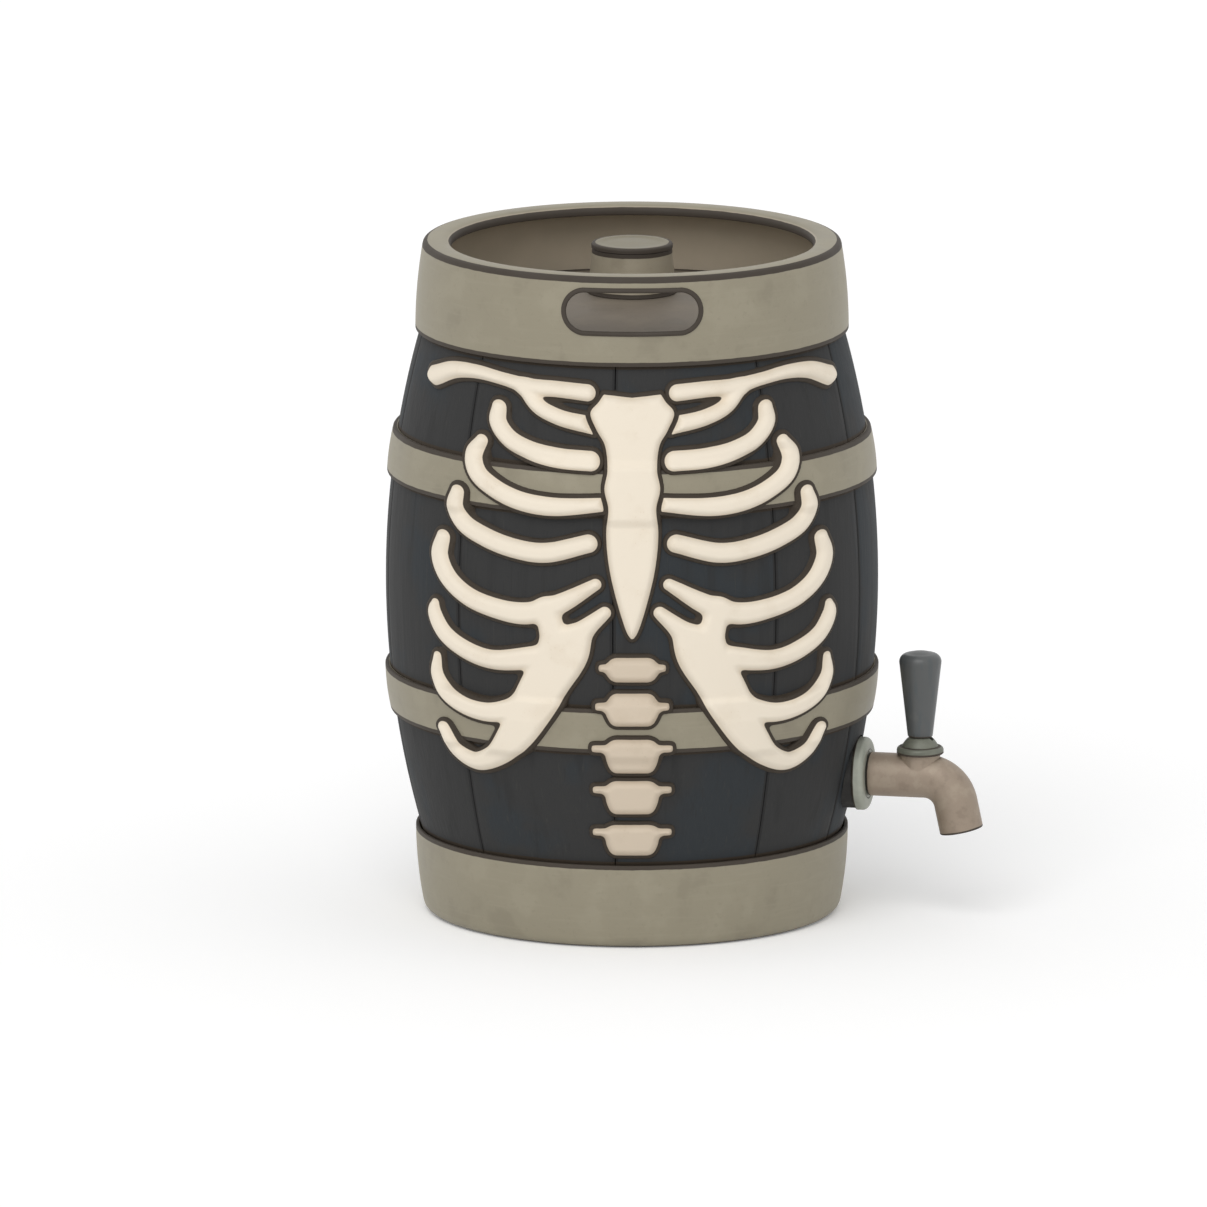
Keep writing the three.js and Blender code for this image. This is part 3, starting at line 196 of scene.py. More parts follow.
class Graph:
    """The nodes of one material, or of the world."""

    def __init__(self, owner: Union[Material, bpy.types.World]) -> None:
        """Starts an empty graph on its owner.

        Args:
            owner: the material or world that the nodes belong to.
        """
        owner.use_nodes = True
        self.tree = owner.node_tree
        self.tree.nodes.clear()

    def add(self, kind: str, settings: Optional[Inputs] = None, sockets: Optional[Inputs] = None) -> Node:
        """Adds a node.

        Args:
            kind: the node's type.
            settings: its own settings, which are set first.
            sockets: values or links of its inputs, by name or number.

        Returns:
            The node.
        """
        node = self.tree.nodes.new(kind)
        for name, value in (settings or {}).items():
            setattr(node, name, value)
        for name, value in (sockets or {}).items():
            if isinstance(value, Channel):
                value = value.socket
            if isinstance(value, bpy.types.NodeSocket):
                self.tree.links.new(value, node.inputs[name])
            else:
                node.inputs[name].default_value = value
        return node

    def maths(self, operation: str, first: Value, second: Value) -> Channel:
        """Works out one sum with a Math node."""
        node = self.add("ShaderNodeMath", {"operation": operation}, {0: first, 1: second})
        return Channel(self, node.outputs[0])

    def place(self) -> Socket:
        """Gives the piece's own coordinates, in metres."""
        return self.add("ShaderNodeTexCoord").outputs["Object"]

    def parts(self, place: Socket) -> list[Channel]:
        """Splits coordinates into X, Y and Z."""
        return [Channel(self, socket) for socket in self.add("ShaderNodeSeparateXYZ", {}, {0: place}).outputs]

    def stretched(self, place: Socket, scale: Sequence[float]) -> Socket:
        """Scales coordinates by a different number each way."""
        settings = {"operation": "MULTIPLY"}
        return self.add("ShaderNodeVectorMath", settings, {0: place, 1: tuple(scale)}).outputs[0]

    def attribute(self, name: str) -> Channel:
        """Reads a number that the mesh holds."""
        return Channel(self, self.add("ShaderNodeAttribute", {"attribute_name": name}).outputs["Fac"])

    def noise(self, place: Socket, scale: float, detail: float = 3, rough: float = 0.55) -> Channel:
        """Makes cloudy noise about 0.5.

        Args:
            place: the coordinates it reads.
            scale: how many clouds there are to a metre.
            detail: how many finer layers it has.
            rough: how strong the finer layers are.

        Returns:
            The noise.
        """
        sockets = {"Vector": place, "Scale": scale, "Detail": detail, "Roughness": rough}
        return Channel(self, self.add("ShaderNodeTexNoise", {}, sockets).outputs["Fac"])

    def cells(self, place: Socket, scale: float) -> Channel:
        """Gives the distance to scattered points, for pits and pores."""
        sockets = {"Vector": place, "Scale": scale}
        return Channel(self, self.add("ShaderNodeTexVoronoi", {}, sockets).outputs["Distance"])

    def ramp(self, value: Channel, low: float, high: float) -> Channel:
        """Rises smoothly from 0 at low to 1 at high.

        Args:
            value: what is read.
            low: where it still gives 0.
            high: where it gives 1.

        Returns:
            The share, from 0 to 1.
        """
        settings = {"interpolation_type": "SMOOTHSTEP"}
        sockets = {"Value": value, "From Min": low, "From Max": high}
        return Channel(self, self.add("ShaderNodeMapRange", settings, sockets).outputs[0])

    def blend(self, share: Value, base: Any, over: Any) -> Socket:
        """Lays one colour over another.

        Args:
            share: how much of the upper colour shows.
            base: the lower colour, as a screen colour or a socket.
            over: the upper colour.

        Returns:
            The mixed colour's socket.
        """
        base, over = (linear(c) if isinstance(c, tuple) else c for c in (base, over))
        return self.add("ShaderNodeMix", {"data_type": "RGBA"}, {0: share, 6: base, 7: over}).outputs[2]

    def patch(self, base: Any, over: Any, where: Channel, low: float, high: float, share: float) -> Socket:
        """Lays a colour over another where a value passes from low to high.

        Args:
            base: the lower colour, as a screen colour or a socket.
            over: the upper colour.
            where: the value.
            low: where the upper colour starts to show.
            high: where it shows most.
            share: how much of it shows there.

        Returns:
            The mixed colour's socket.
        """
        return self.blend(self.ramp(where, low, high) * share, base, over)

    def bump(self, height: Channel, depth: float, strength: float = 1.0) -> Socket:
        """Raises the surface by a height of 0 to 1 times a depth in millimetres."""
        sockets = {"Height": height, "Distance": depth * MM, "Strength": strength}
        return self.add("ShaderNodeBump", {}, sockets).outputs["Normal"]

    def surface(self, **sockets: Any) -> None:
        """Ends the graph in a Principled shader, whose inputs are named with _ for a space.

        Args:
            sockets: values or links of the shader's inputs.
        """
        named = {name.replace("_", " "): value for name, value in sockets.items()}
        shader = self.add("ShaderNodeBsdfPrincipled", {}, named)
        self.add("ShaderNodeOutputMaterial", {}, {"Surface": shader.outputs["BSDF"]})


# Finishes


@dataclass(frozen=True)
class Finish:
    """What a piece is made of or painted with, and its lining's sizes in millimetres."""

    name: str
    line_width: float = 3.8
    line_soft: float = 0.25
    line_wander: float = 0.9

    def material(self) -> Material:
        """Makes the finish's material.

        Returns:
            The material.
        """
        made = bpy.data.materials.new(self.name)
        self.dress(Graph(made))
        return made

    def dress(self, graph: Graph) -> None:
        """Builds the finish's nodes."""
        raise NotImplementedError

    def wander(self, graph: Graph, place: Socket) -> Channel:
        """Gives how far lining strays from its edge, as a hand-painted line does."""
        return (graph.noise(place, 70, 2) - 0.5) * self.line_wander

    def lining(self, graph: Graph, place: Socket) -> Channel:
        """Finds where dark lining runs beside the marked edges.

        Args:
            graph: the finish's graph.
            place: the piece's coordinates.

        Returns:
            1 on the lining and 0 off it.
        """
        closeness = graph.attribute(EDGE) + self.wander(graph, place)
        inner = REACH - self.line_width
        return graph.ramp(closeness, inner - self.line_soft, inner + self.line_soft)


@dataclass(frozen=True)
class PaintedWood(Finish):
    """Charcoal paint, worn thin over upright grain, with lines at given heights."""

    paint: Colour = (51, 51, 51)
    cool: Colour = (46, 51, 55)
    pale: Colour = (61, 61, 59)
    dark: Colour = (43, 43, 43)
    seam: Colour = (41, 41, 41)
    seam_width: float = 2.6
    seam_soft: float = 0.3
    line_heights: tuple[float, ...] = ()
    half_line: float = 2.75

    def dress(self, graph: Graph) -> None:
        """Builds grain, cool patches, thin scuffs and the lines beside hoops and chimes.

        Args:
            graph: the finish's graph.
        """
        place = graph.place()
        tone = graph.attribute(TONE)
        grain = graph.noise(graph.stretched(place, (1, 1, 0.03)), 300, 5, 0.62)
        streaks = graph.noise(graph.stretched(place, (1, 1, 0.07)), 70, 3)
        clouds = graph.noise(place, 13, 3) + (tone - 0.5) * 0.25
        colour = graph.patch(self.paint, self.cool, clouds, 0.47, 0.62, 0.75)
        colour = graph.patch(colour, self.dark, streaks, 0.52, 0.72, 0.55)
        colour = graph.patch(colour, self.pale, grain, 0.56, 0.74, 0.55)
        colour = graph.patch(colour, self.dark, grain, 0.44, 0.3, 0.5)
        inner = REACH - self.seam_width
        seam = graph.ramp(graph.attribute(EDGE), inner - self.seam_soft, inner + self.seam_soft)
        colour = graph.blend(seam, colour, self.seam)
        height, wander = graph.parts(place)[2], self.wander(graph, place) * MM
        outer, inner = (self.half_line + self.line_soft) * MM, (self.half_line - self.line_soft) * MM
        for line in self.line_heights:
            near = graph.ramp(abs(height - line * MM) + wander, outer, inner)
            colour = graph.blend(near, colour, LINE)
        normal = graph.bump(grain * 0.6 + streaks * 0.4, 0.5, 0.8)
        graph.surface(Base_Color=colour, Roughness=0.55 + grain * 0.3, Specular_IOR_Level=0.2, Normal=normal)


@dataclass(frozen=True)
class AgedMetal(Finish):
    """Dull, mottled metal with dark lining at its marked edges."""

    base: Colour = (145, 138, 119)
    light: Colour = (152, 145, 126)
    dark: Colour = (134, 127, 109)
    metallic: float = 0.25
    roughness: float = 0.5
    scale: float = 1.0
    brushed: bool = False
    # The colour below is a painted well shade for the top chime's inner side, set for the light down in the
    # well.
    shadowed: Colour = (186, 173, 153)

    def dress(self, graph: Graph) -> None:
        """Builds mottling, specks, brushing, a painted well shade on the inner side and the lining.

        Args:
            graph: the finish's graph.
        """
        place = graph.place()
        clouds = graph.noise(place, 24 * self.scale, 4)
        fine = graph.noise(place, 170 * self.scale, 4, 0.6)
        brush = graph.noise(graph.stretched(place, (1, 1, 14)), 22 * self.scale, 3)
        colour = graph.patch(self.base, self.light, clouds, 0.5, 0.66, 0.8)
        colour = graph.patch(colour, self.dark, clouds, 0.46, 0.33, 0.7)
        colour = graph.patch(colour, self.dark, fine, 0.58, 0.7, 0.35)
        if self.brushed:
            colour = graph.patch(colour, self.light, brush, 0.52, 0.68, 0.3)
        pits = graph.ramp(graph.cells(place, 190 * self.scale), 0.16, 0.05)
        colour = graph.blend(pits * 0.3, colour, self.dark)
        # Painted shade: the top chime's inner side takes its own colour for the light down in the well, and
        # drops its metal sheen there.
        inside, line = graph.attribute(INNER), self.lining(graph, place)
        colour = graph.blend(inside, colour, graph.blend(clouds * 0.5, self.shadowed, self.dark))
        graph.surface(
            Base_Color=graph.blend(line, colour, LINE),
            Metallic=(1 - line.most(inside)) * self.metallic,
            Roughness=self.roughness + (clouds - 0.5) * 0.3 + line * 0.2,
            Normal=graph.bump(fine * 0.5 + brush * 0.3 - pits * 0.5, 0.12, 0.8),
        )


@dataclass(frozen=True)
class BoneResin(Finish):
    """Moulded bone, porous and with a painted tan shade towards its edge, on a flange of dark lining."""

    line_width: float = 0.35
    line_wander: float = 0.3
    # The two sizes below bound the painted edge shade, in millimetres in from the bone's edge.
    painted_shade_width: float = 3.2
    painted_shade_end: float = 0.2
    base: Colour = (236, 225, 207)
    # The colour below is painted shade at the bone's edge, and also the colour of the pores.
    painted_shade_and_pores: Colour = (220, 204, 180)
    stain: Colour = (227, 214, 194)

    def dress(self, graph: Graph) -> None:
        """Builds the cream, a painted shade towards its edge, stains, pores and the dark flange.

        Args:
            graph: the finish's graph.
        """
        place = graph.place()
        closeness = graph.attribute(EDGE)
        clouds = graph.noise(place, 30, 4)
        fine = graph.noise(place, 230, 3)
        colour = graph.patch(self.base, self.stain, clouds, 0.52, 0.72, 0.55)
        # Painted shade: the bone darkens to tan towards its edge, standing for the shading where the relief
        # turns down.
        painted_shade_reach = closeness + (clouds - 0.5) * 2.5
        colour = graph.patch(colour, self.painted_shade_and_pores, painted_shade_reach, REACH - self.painted_shade_width, REACH - self.painted_shade_end, 0.55)
        pores = graph.ramp(graph.cells(place, 260), 0.2, 0.08) * graph.ramp(clouds, 0.5, 0.62)
        colour = graph.blend(pores * 0.4, colour, self.painted_shade_and_pores)
        wavy = closeness + (graph.noise(place, 60, 2) - 0.5) * self.line_wander
        colour = graph.blend(graph.ramp(wavy, REACH - self.line_width, REACH), colour, LINE)
        normal = graph.bump(clouds * 0.5 + fine * 0.3 - pores * 0.4, 0.3, 0.7)
        graph.surface(Base_Color=colour, Roughness=0.6 + fine * 0.15, Specular_IOR_Level=0.3, Normal=normal)


@dataclass(frozen=True)
class Rubber(Finish):
    """Black rubber with a faint bloom."""

    base: Colour = (38, 37, 36)
    bloom: Colour = (64, 62, 59)

    def dress(self, graph: Graph) -> None:
        """Builds the bloom and a fine grain.

        Args:
            graph: the finish's graph.
        """
        place = graph.place()
        clouds = graph.noise(place, 45, 3)
        fine = graph.noise(place, 900, 2)
        colour = graph.patch(self.base, self.bloom, clouds, 0.45, 0.7, 0.6)
        graph.surface(Base_Color=colour, Roughness=0.75 + clouds * 0.15, Normal=graph.bump(fine, 0.05, 0.6))


@dataclass(frozen=True)
class Stainless(Finish):
    """Turned stainless steel with fine rings of tool marks."""

    base: Colour = (176, 177, 176)
    dull: Colour = (150, 151, 149)

    def dress(self, graph: Graph) -> None:
        """Builds the tool marks and a dull haze.

        Args:
            graph: the finish's graph.
        """
        place = graph.place()
        marks = graph.noise(graph.stretched(place, (1, 1, 25)), 60, 3)
        haze = graph.noise(place, 35, 3)
        colour = graph.patch(self.base, self.dull, haze, 0.45, 0.65, 0.7)
        normal = graph.bump(marks, 0.03, 0.6)
        graph.surface(Base_Color=colour, Metallic=1.0, Roughness=0.25 + marks * 0.25, Normal=normal)


@dataclass(frozen=True)
class HandleResin(Finish):
    """Dark grey moulded resin, rubbed paler where it is held."""

    base: Colour = (79, 81, 81)
    cool: Colour = (69, 76, 79)
    rubbed: Colour = (90, 91, 90)

    def dress(self, graph: Graph) -> None:
        """Builds faint upright flow marks, cool patches and rubbed ones.

        Args:
            graph: the finish's graph.
        """
        place = graph.place()
        flow = graph.noise(graph.stretched(place, (1, 1, 0.12)), 190, 3)
        clouds = graph.noise(place, 42, 3)
        colour = graph.patch(self.base, self.cool, flow, 0.48, 0.66, 0.55)
        colour = graph.patch(colour, self.rubbed, clouds, 0.54, 0.7, 0.6)
        colour = graph.blend(self.lining(graph, place), colour, LINE)
        normal = graph.bump(flow, 0.12, 0.6)
        graph.surface(Base_Color=colour, Roughness=0.36 + clouds * 0.2, Coat_Weight=0.15, Normal=normal)


# Modelling


class Bench:
    """Shapes, joins and places pieces with Blender's modelling operators."""

    def clear(self) -> None:
        """Leaves edit mode and selects nothing."""
        if bpy.context.mode != "OBJECT":
            bpy.ops.object.mode_set(mode="OBJECT")
        bpy.ops.object.select_all(action="DESELECT")

    def take(self, piece: Piece) -> None:
        """Makes a piece the only selected one.

        Args:
            piece: the piece.
        """
        self.clear()
        piece.select_set(True)
        bpy.context.view_layer.objects.active = piece

    def open(self, piece: Piece, select: str = "SELECT") -> None:
        """Opens a piece in edit mode with all or none of it selected.

        Args:
            piece: the piece.
            select: what the operator that selects is told.
        """
        self.take(piece)
        bpy.ops.object.mode_set(mode="EDIT")
        bpy.ops.mesh.select_all(action=select)

    def named(self, name: str) -> Piece:
        """Names the primitive that was just added, and writes its place into its mesh.

        Args:
            name: the piece's name.

        Returns:
            The piece.
        """
        piece = bpy.context.active_object
        piece.name = piece.data.name = name
        bpy.ops.object.transform_apply(location=True, rotation=True, scale=True)
        return piece

    def pick(self, piece: Piece, wanted: Iterable[bool]) -> None:
        """Selects those vertices of an open piece that are wanted, and no others.

        Args:
            piece: the piece.
            wanted: whether each vertex is wanted, in order.
        """
        mesh = bmesh.from_edit_mesh(piece.data)
        for vertex, chosen in zip(mesh.verts, wanted):
            vertex.select_set(bool(chosen))
        mesh.select_flush_mode()
        bmesh.update_edit_mesh(piece.data)

    def merge(self, threshold: float = MERGE) -> None:
        """Merges what coincides on an open piece, within some millimetres, and selects all of it.

        Args:
            threshold: how close vertices are merged.
        """
        bpy.ops.mesh.select_all(action="SELECT")
        bpy.ops.mesh.remove_doubles(threshold=threshold * MM)
        bpy.ops.mesh.select_all(action="SELECT")

    def seal(self) -> None:
        """Merges what coincides, closes open ends and turns the faces outwards, on an open piece."""
        self.merge()
        bpy.ops.mesh.fill_holes(sides=0)
        bpy.ops.mesh.normals_make_consistent(inside=False)
        bpy.ops.object.mode_set(mode="OBJECT")

    def face_out(self, piece: Piece) -> None:
        """Turns the faces of a closed piece outwards.

        Args:
            piece: the piece.
        """
        self.open(piece)
        bpy.ops.mesh.normals_make_consistent(inside=False)
        bpy.ops.object.mode_set(mode="OBJECT")

    def thread(self, name: str, points: Sequence[Vector]) -> Piece:
        """Draws a line from point to point, as one vertex that is extruded along it.

        Args:
            name: the piece's name.
            points: the line's points, in metres.

        Returns:
            The line, open in edit mode with all of it selected.
        """
        self.clear()
        bpy.ops.mesh.primitive_plane_add(size=MM, location=points[0])
        piece = self.named(name)
        self.open(piece)
        bpy.ops.mesh.merge(type="CENTER")
        for before, after in zip(points, points[1:]):
            bpy.ops.mesh.extrude_region_move(TRANSFORM_OT_translate={"value": after - before})
        self.merge()
        return piece

    def turned(
        self, name: str, outline: Outline, start: float = 0, sweep: float = 360, step: float = 2.5
    ) -> Piece:
        """Spins an outline about the upright axis.

        Args:
            name: the piece's name.
            outline: points of (radius, height), in millimetres. Where both ends lie on the axis they stay
                there, and otherwise the last point is joined to the first.
            start: where the spin starts, in degrees from the front towards the tap's side.
            sweep: how far it goes, in degrees.
            step: the angle of one face.

        Returns:
            The closed piece.
        """
        turn = math.radians(start)
        out = Vector((math.sin(turn), -math.cos(turn), 0))
        points = [(out * radius + Vector((0, 0, height))) * MM for radius, height in outline]
        if outline[0][0] > 0 or outline[-1][0] > 0:
            points.append(points[0])
        piece = self.thread(name, points)
        steps, angle = round(sweep / step), -math.radians(sweep)
        bpy.ops.mesh.spin(steps=steps, angle=angle, center=(0, 0, 0), axis=(0, 0, 1))
        self.seal()
        return piece

    def prism(self, name: str, outline: Outline, half_width: float) -> Piece:
        """Draws an outline of (along, up) across the Y axis and extrudes it to both sides.

        Args:
            name: the piece's name.
            outline: the outline's points, in order.
            half_width: how far it reaches to each side, in millimetres.

        Returns:
            The closed prism.
        """
        points = [Vector((x, -half_width, z)) * MM for x, z in outline]
        piece = self.thread(name, [*points, points[0]])
        bpy.ops.mesh.edge_face_add()
        bpy.ops.mesh.extrude_region_move(TRANSFORM_OT_translate={"value": (0, 2 * half_width * MM, 0)})
        self.seal()
        return piece

    def rod(self, name: str, radius: float, start: float, end: float, vertices: int = 64) -> Piece:
        """Adds a round bar about the upright axis between two heights, as a cutter or a blank.

        Args:
            name: the piece's name.
            radius: its radius, in millimetres.
            start: its lower end.
            end: its upper end.
            vertices: how many sides it has.

        Returns:
            The bar.
        """
        self.clear()
        middle, depth = (start + end) / 2 * MM, (end - start) * MM
        bpy.ops.mesh.primitive_cylinder_add(
            vertices=vertices, radius=radius * MM, depth=depth, location=(0, 0, middle)
        )
        return self.named(name)

    def modify(self, piece: Piece, kind: str, **settings: Any) -> None:
        """Adds a modifier with its settings and applies it.

        Args:
            piece: the piece.
            kind: the modifier's type.
            settings: its settings.
        """
        self.take(piece)
        modifier = piece.modifiers.new(kind.title(), kind)
        for name, value in settings.items():
            setattr(modifier, name, value)
        bpy.ops.object.modifier_apply(modifier=modifier.name)

    def bevel(self, piece: Piece, width: float, segments: int = 2, angle: float = 40) -> None:
        """Rounds the edges of a piece that are sharper than an angle."""
        settings = {"width": width * MM, "segments": segments, "limit_method": "ANGLE"}
        self.modify(piece, "BEVEL", **settings, angle_limit=math.radians(angle))

    def combine(self, piece: Piece, other: Piece, operation: str = "DIFFERENCE") -> None:
        """Cuts another piece out of this one, or fuses it on, and removes it."""
        self.modify(piece, "BOOLEAN", object=other, operation=operation, solver="EXACT")
        bpy.data.objects.remove(other)

    def gather(self, pieces: Sequence[Piece]) -> Piece:
        """Joins several pieces into the first.

        Args:
            pieces: the pieces.

        Returns:
            The first piece, with all the others in it.
        """
        self.take(pieces[0])
        for piece in pieces[1:]:
            piece.select_set(True)
        bpy.ops.object.join()
        return pieces[0]

    def twin(self, piece: Piece, name: str) -> Piece:
        """Copies a piece with a mesh of its own.

        Args:
            piece: the piece.
            name: the copy's name.

        Returns:
            The copy, at the origin.
        """
        copy = piece.copy()
        copy.data = piece.data.copy()
        copy.parent = None
        copy.name = copy.data.name = name
        for key in [key for key in copy.keys() if key.startswith("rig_")]:
            del copy[key]
        bpy.context.scene.collection.objects.link(copy)
        copy.hide_render = False
        copy.matrix_world = Matrix.Identity(4)
        return copy

    def settle(self, piece: Piece, matrix: Matrix) -> None:
        """Moves a piece to its place and writes the place into its mesh.

        Args:
            piece: the piece.
            matrix: the way to its place.
        """
        self.take(piece)
        piece.matrix_world = matrix
        bpy.ops.object.transform_apply(location=True, rotation=True, scale=True)

    def places(self, piece: Piece) -> np.ndarray:
        """Gives a piece's vertices as rows of X, Y and Z, in millimetres.

        Args:
            piece: the piece.

        Returns:
            One row for each vertex.
        """
        flat = np.zeros(len(piece.data.vertices) * 3)
        piece.data.vertices.foreach_get("co", flat)
        return flat.reshape(-1, 3) / MM

    def put(self, piece: Piece, places: np.ndarray) -> None:
        """Moves a piece's vertices to rows of X, Y and Z, in millimetres."""
        piece.data.vertices.foreach_set("co", (places * MM).ravel())

    def note(self, piece: Piece, name: str, values: np.ndarray) -> None:
        """Stores a number for each vertex of a piece."""
        held = piece.data.attributes.get(name) or piece.data.attributes.new(name, "FLOAT", "POINT")
        held.data.foreach_set("value", values.astype(np.float32))

    def line(self, piece: Piece, distance: np.ndarray) -> None:
        """Stores how close each vertex is to an edge with lining, from its distance in millimetres."""
        self.note(piece, EDGE, REACH - np.clip(distance, 0, REACH))

    def line_rings(self, piece: Piece, rings: Iterable[Point]) -> None:
        """Lines a turned piece, still about the upright axis, along rings of (radius, height).

        Args:
            piece: the piece.
            rings: the rings, in millimetres.
        """
        co = self.places(piece)
        radius, height = np.hypot(co[:, 0], co[:, 1]), co[:, 2]
        self.line(piece, np.min([np.hypot(radius - r, height - z) for r, z in rings], axis=0))

    def smooth(self, piece: Piece, angle: float = 32) -> None:
        """Shades a piece smooth but for its sharp edges."""
        self.take(piece)
        bpy.ops.object.shade_smooth_by_angle(angle=math.radians(angle))

    def deliver(self, piece: Piece, material: Material, body: Body, slot: Slot, *nodes: str) -> None:
        """Dresses a finished piece, parents it to its body's empty and hides the nodes that it stands for.

        Args:
            piece: the finished piece.
            material: what it is dressed with.
            body: the body it rides on.
            slot: not used.
            nodes: the nodes of the frame that it stands for.
        """
        piece.data.materials.clear()
        piece.data.materials.append(material)
        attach(piece, body.value)
        if nodes:
            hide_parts(*nodes)
        self.clear()
        log.info("%s: %d faces for %s", piece.name, len(piece.data.polygons), ", ".join(nodes) or "trim")

    def set_down(
        self, piece: Piece, place: Matrix, material: Material, body: Body, slot: Slot, *nodes: str,
        angle: float = 32,
    ) -> None:
        """Moves a piece to its place, shades it and delivers it.

        Args:
            piece: the finished piece, about the origin.
            place: the way from there to its place.
            material: what it is dressed with.
            body: the body it rides on.
            slot: not used, only passed on.
            nodes: the nodes of the frame that it stands for.
            angle: the least angle of an edge that stays sharp, in degrees.
        """
        self.settle(piece, place)
        self.smooth(piece, angle)
        self.deliver(piece, material, body, slot, *nodes)


# The keg's own pieces


@dataclass(frozen=True)
class Barrel:
    """The barrel's lines, in millimetres, about its upright axis."""

    bulge_radius: float = 215
    bulge: float = 30.5
    height: float = 594
    top_chime: float = 78
    foot_chime: float = 75
    hoop_middles: tuple[float, float] = (409, 199)
    hoop_width: float = 40
    hoop_thickness: float = 5
    hoop_ramp: float = 10

    @property
    def top_edge(self) -> float:
        """Where the staves go under the top chime."""
        return self.height - self.top_chime

    @property
    def axis(self) -> Matrix:
        """The way from a piece about the origin to the barrel's axis."""
        low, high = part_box("chime_bottom")
        return Matrix.Translation(((low.x + high.x) / 2, (low.y + high.y) / 2, 0))

    def radius(self, height: Any) -> Any:
        """Gives the staves' radius at a height, or at an array of heights.

        Args:
            height: the height or heights, in millimetres.

        Returns:
            The radius at each of them.
        """
        half = (self.top_edge - self.foot_chime) / 2
        long_radius = (half**2 + self.bulge**2) / (2 * self.bulge)
        away = np.asarray(height) - (self.foot_chime + half)
        return self.bulge_radius - long_radius + np.sqrt(long_radius**2 - away**2)

    def ground(self, height: np.ndarray) -> np.ndarray:
        """Gives the radius of staves and hoops together, as the bones lie on them.

        Args:
            height: the heights, in millimetres.

        Returns:
            The radius at each of them.
        """
        rise = np.zeros_like(height)
        for middle in self.hoop_middles:
            share = np.clip((np.abs(height - middle) - self.hoop_width / 2) / self.hoop_ramp, 0, 1)
            rise = np.maximum(rise, self.hoop_thickness * (1 - eased(share)))
        return self.radius(height) + rise

    @property
    def seams(self) -> tuple[float, ...]:
        """The heights at which hoops and chimes end on the staves, from the foot up.

        Returns:
            The heights, in millimetres.
        """
        half = self.hoop_width / 2
        hoops = [middle + way * half for middle in self.hoop_middles for way in (-1, 1)]
        return tuple(sorted([self.foot_chime, *hoops, self.top_edge]))


@dataclass
class Assembly:
    """A sub-assembly, with the bench that it is made on and the barrel that it fits."""

    bench: Bench
    barrel: Barrel


@dataclass
class Jacket(Assembly):
    """The staves, each a bowed board between two joints, whose places are in degrees from the front."""

    tap: "Tap"
    thickness: float = 14
    tuck: float = 14
    gap: float = 0.5
    edge: float = 1.1
    facet: float = 2.2
    outer_steps: int = 48
    inner_steps: int = 12
    joints: tuple[float, ...] = (-44.5, -4.5, 35.5, 67, 93, 130, 167, 204, 242, 279)
    tapped: int = 3
    tones: tuple[float, ...] = (0.35, 0.7, 0.2, 0.85, 0.45, 0.65, 0.15, 0.9, 0.5, 0.3)

    def board(self, index: int) -> Piece:
        """Makes one stave.

        Args:
            index: which stave, counted from 0.

        Returns:
            The stave, about the upright axis.
        """
        barrel, half_gap = self.barrel, math.degrees(self.gap / self.barrel.bulge_radius) / 2
        start = self.joints[index] + half_gap
        end = (*self.joints, self.joints[0] + 360)[index + 1] - half_gap
        sweep = end - start
        bottom, top = barrel.foot_chime - self.tuck, barrel.top_edge + self.tuck
        outer = [(float(barrel.radius(z)), z) for z in spread(bottom, top, self.outer_steps)]
        inner = [(float(barrel.radius(z)) - self.thickness, z) for z in spread(top, bottom, self.inner_steps)]
        step = sweep / round(sweep / self.facet)
        board = self.bench.turned(f"stave_{index + 1}_board", [*outer, *inner], start, sweep, step)
        self.bench.bevel(board, self.edge)
        co = self.bench.places(board)
        past_start = np.degrees(np.arctan2(co[:, 0], -co[:, 1])) - start
        past_start = np.where(past_start < -sweep / 2, past_start + 360, past_start)
        sideways = np.radians(np.minimum(past_start, sweep - past_start)) * barrel.bulge_radius
        self.bench.line(board, sideways)
        self.bench.note(board, TONE, np.full(len(co), self.tones[index]))
        return board

    def build(self, wood: Material) -> None:
        """Makes all the staves, and sinks the tap's seat and hole into one.

        Args:
            wood: what the staves are painted with.
        """
        for index in range(len(self.joints)):
            board = self.board(index)
            self.bench.settle(board, self.barrel.axis)
            if index == self.tapped:
                for cutter in self.tap.seat_cutters():
                    self.bench.combine(board, cutter)
            self.bench.smooth(board)
            self.bench.deliver(board, wood, Body.KEG, Slot.STAVE, f"stave_{index + 1}")


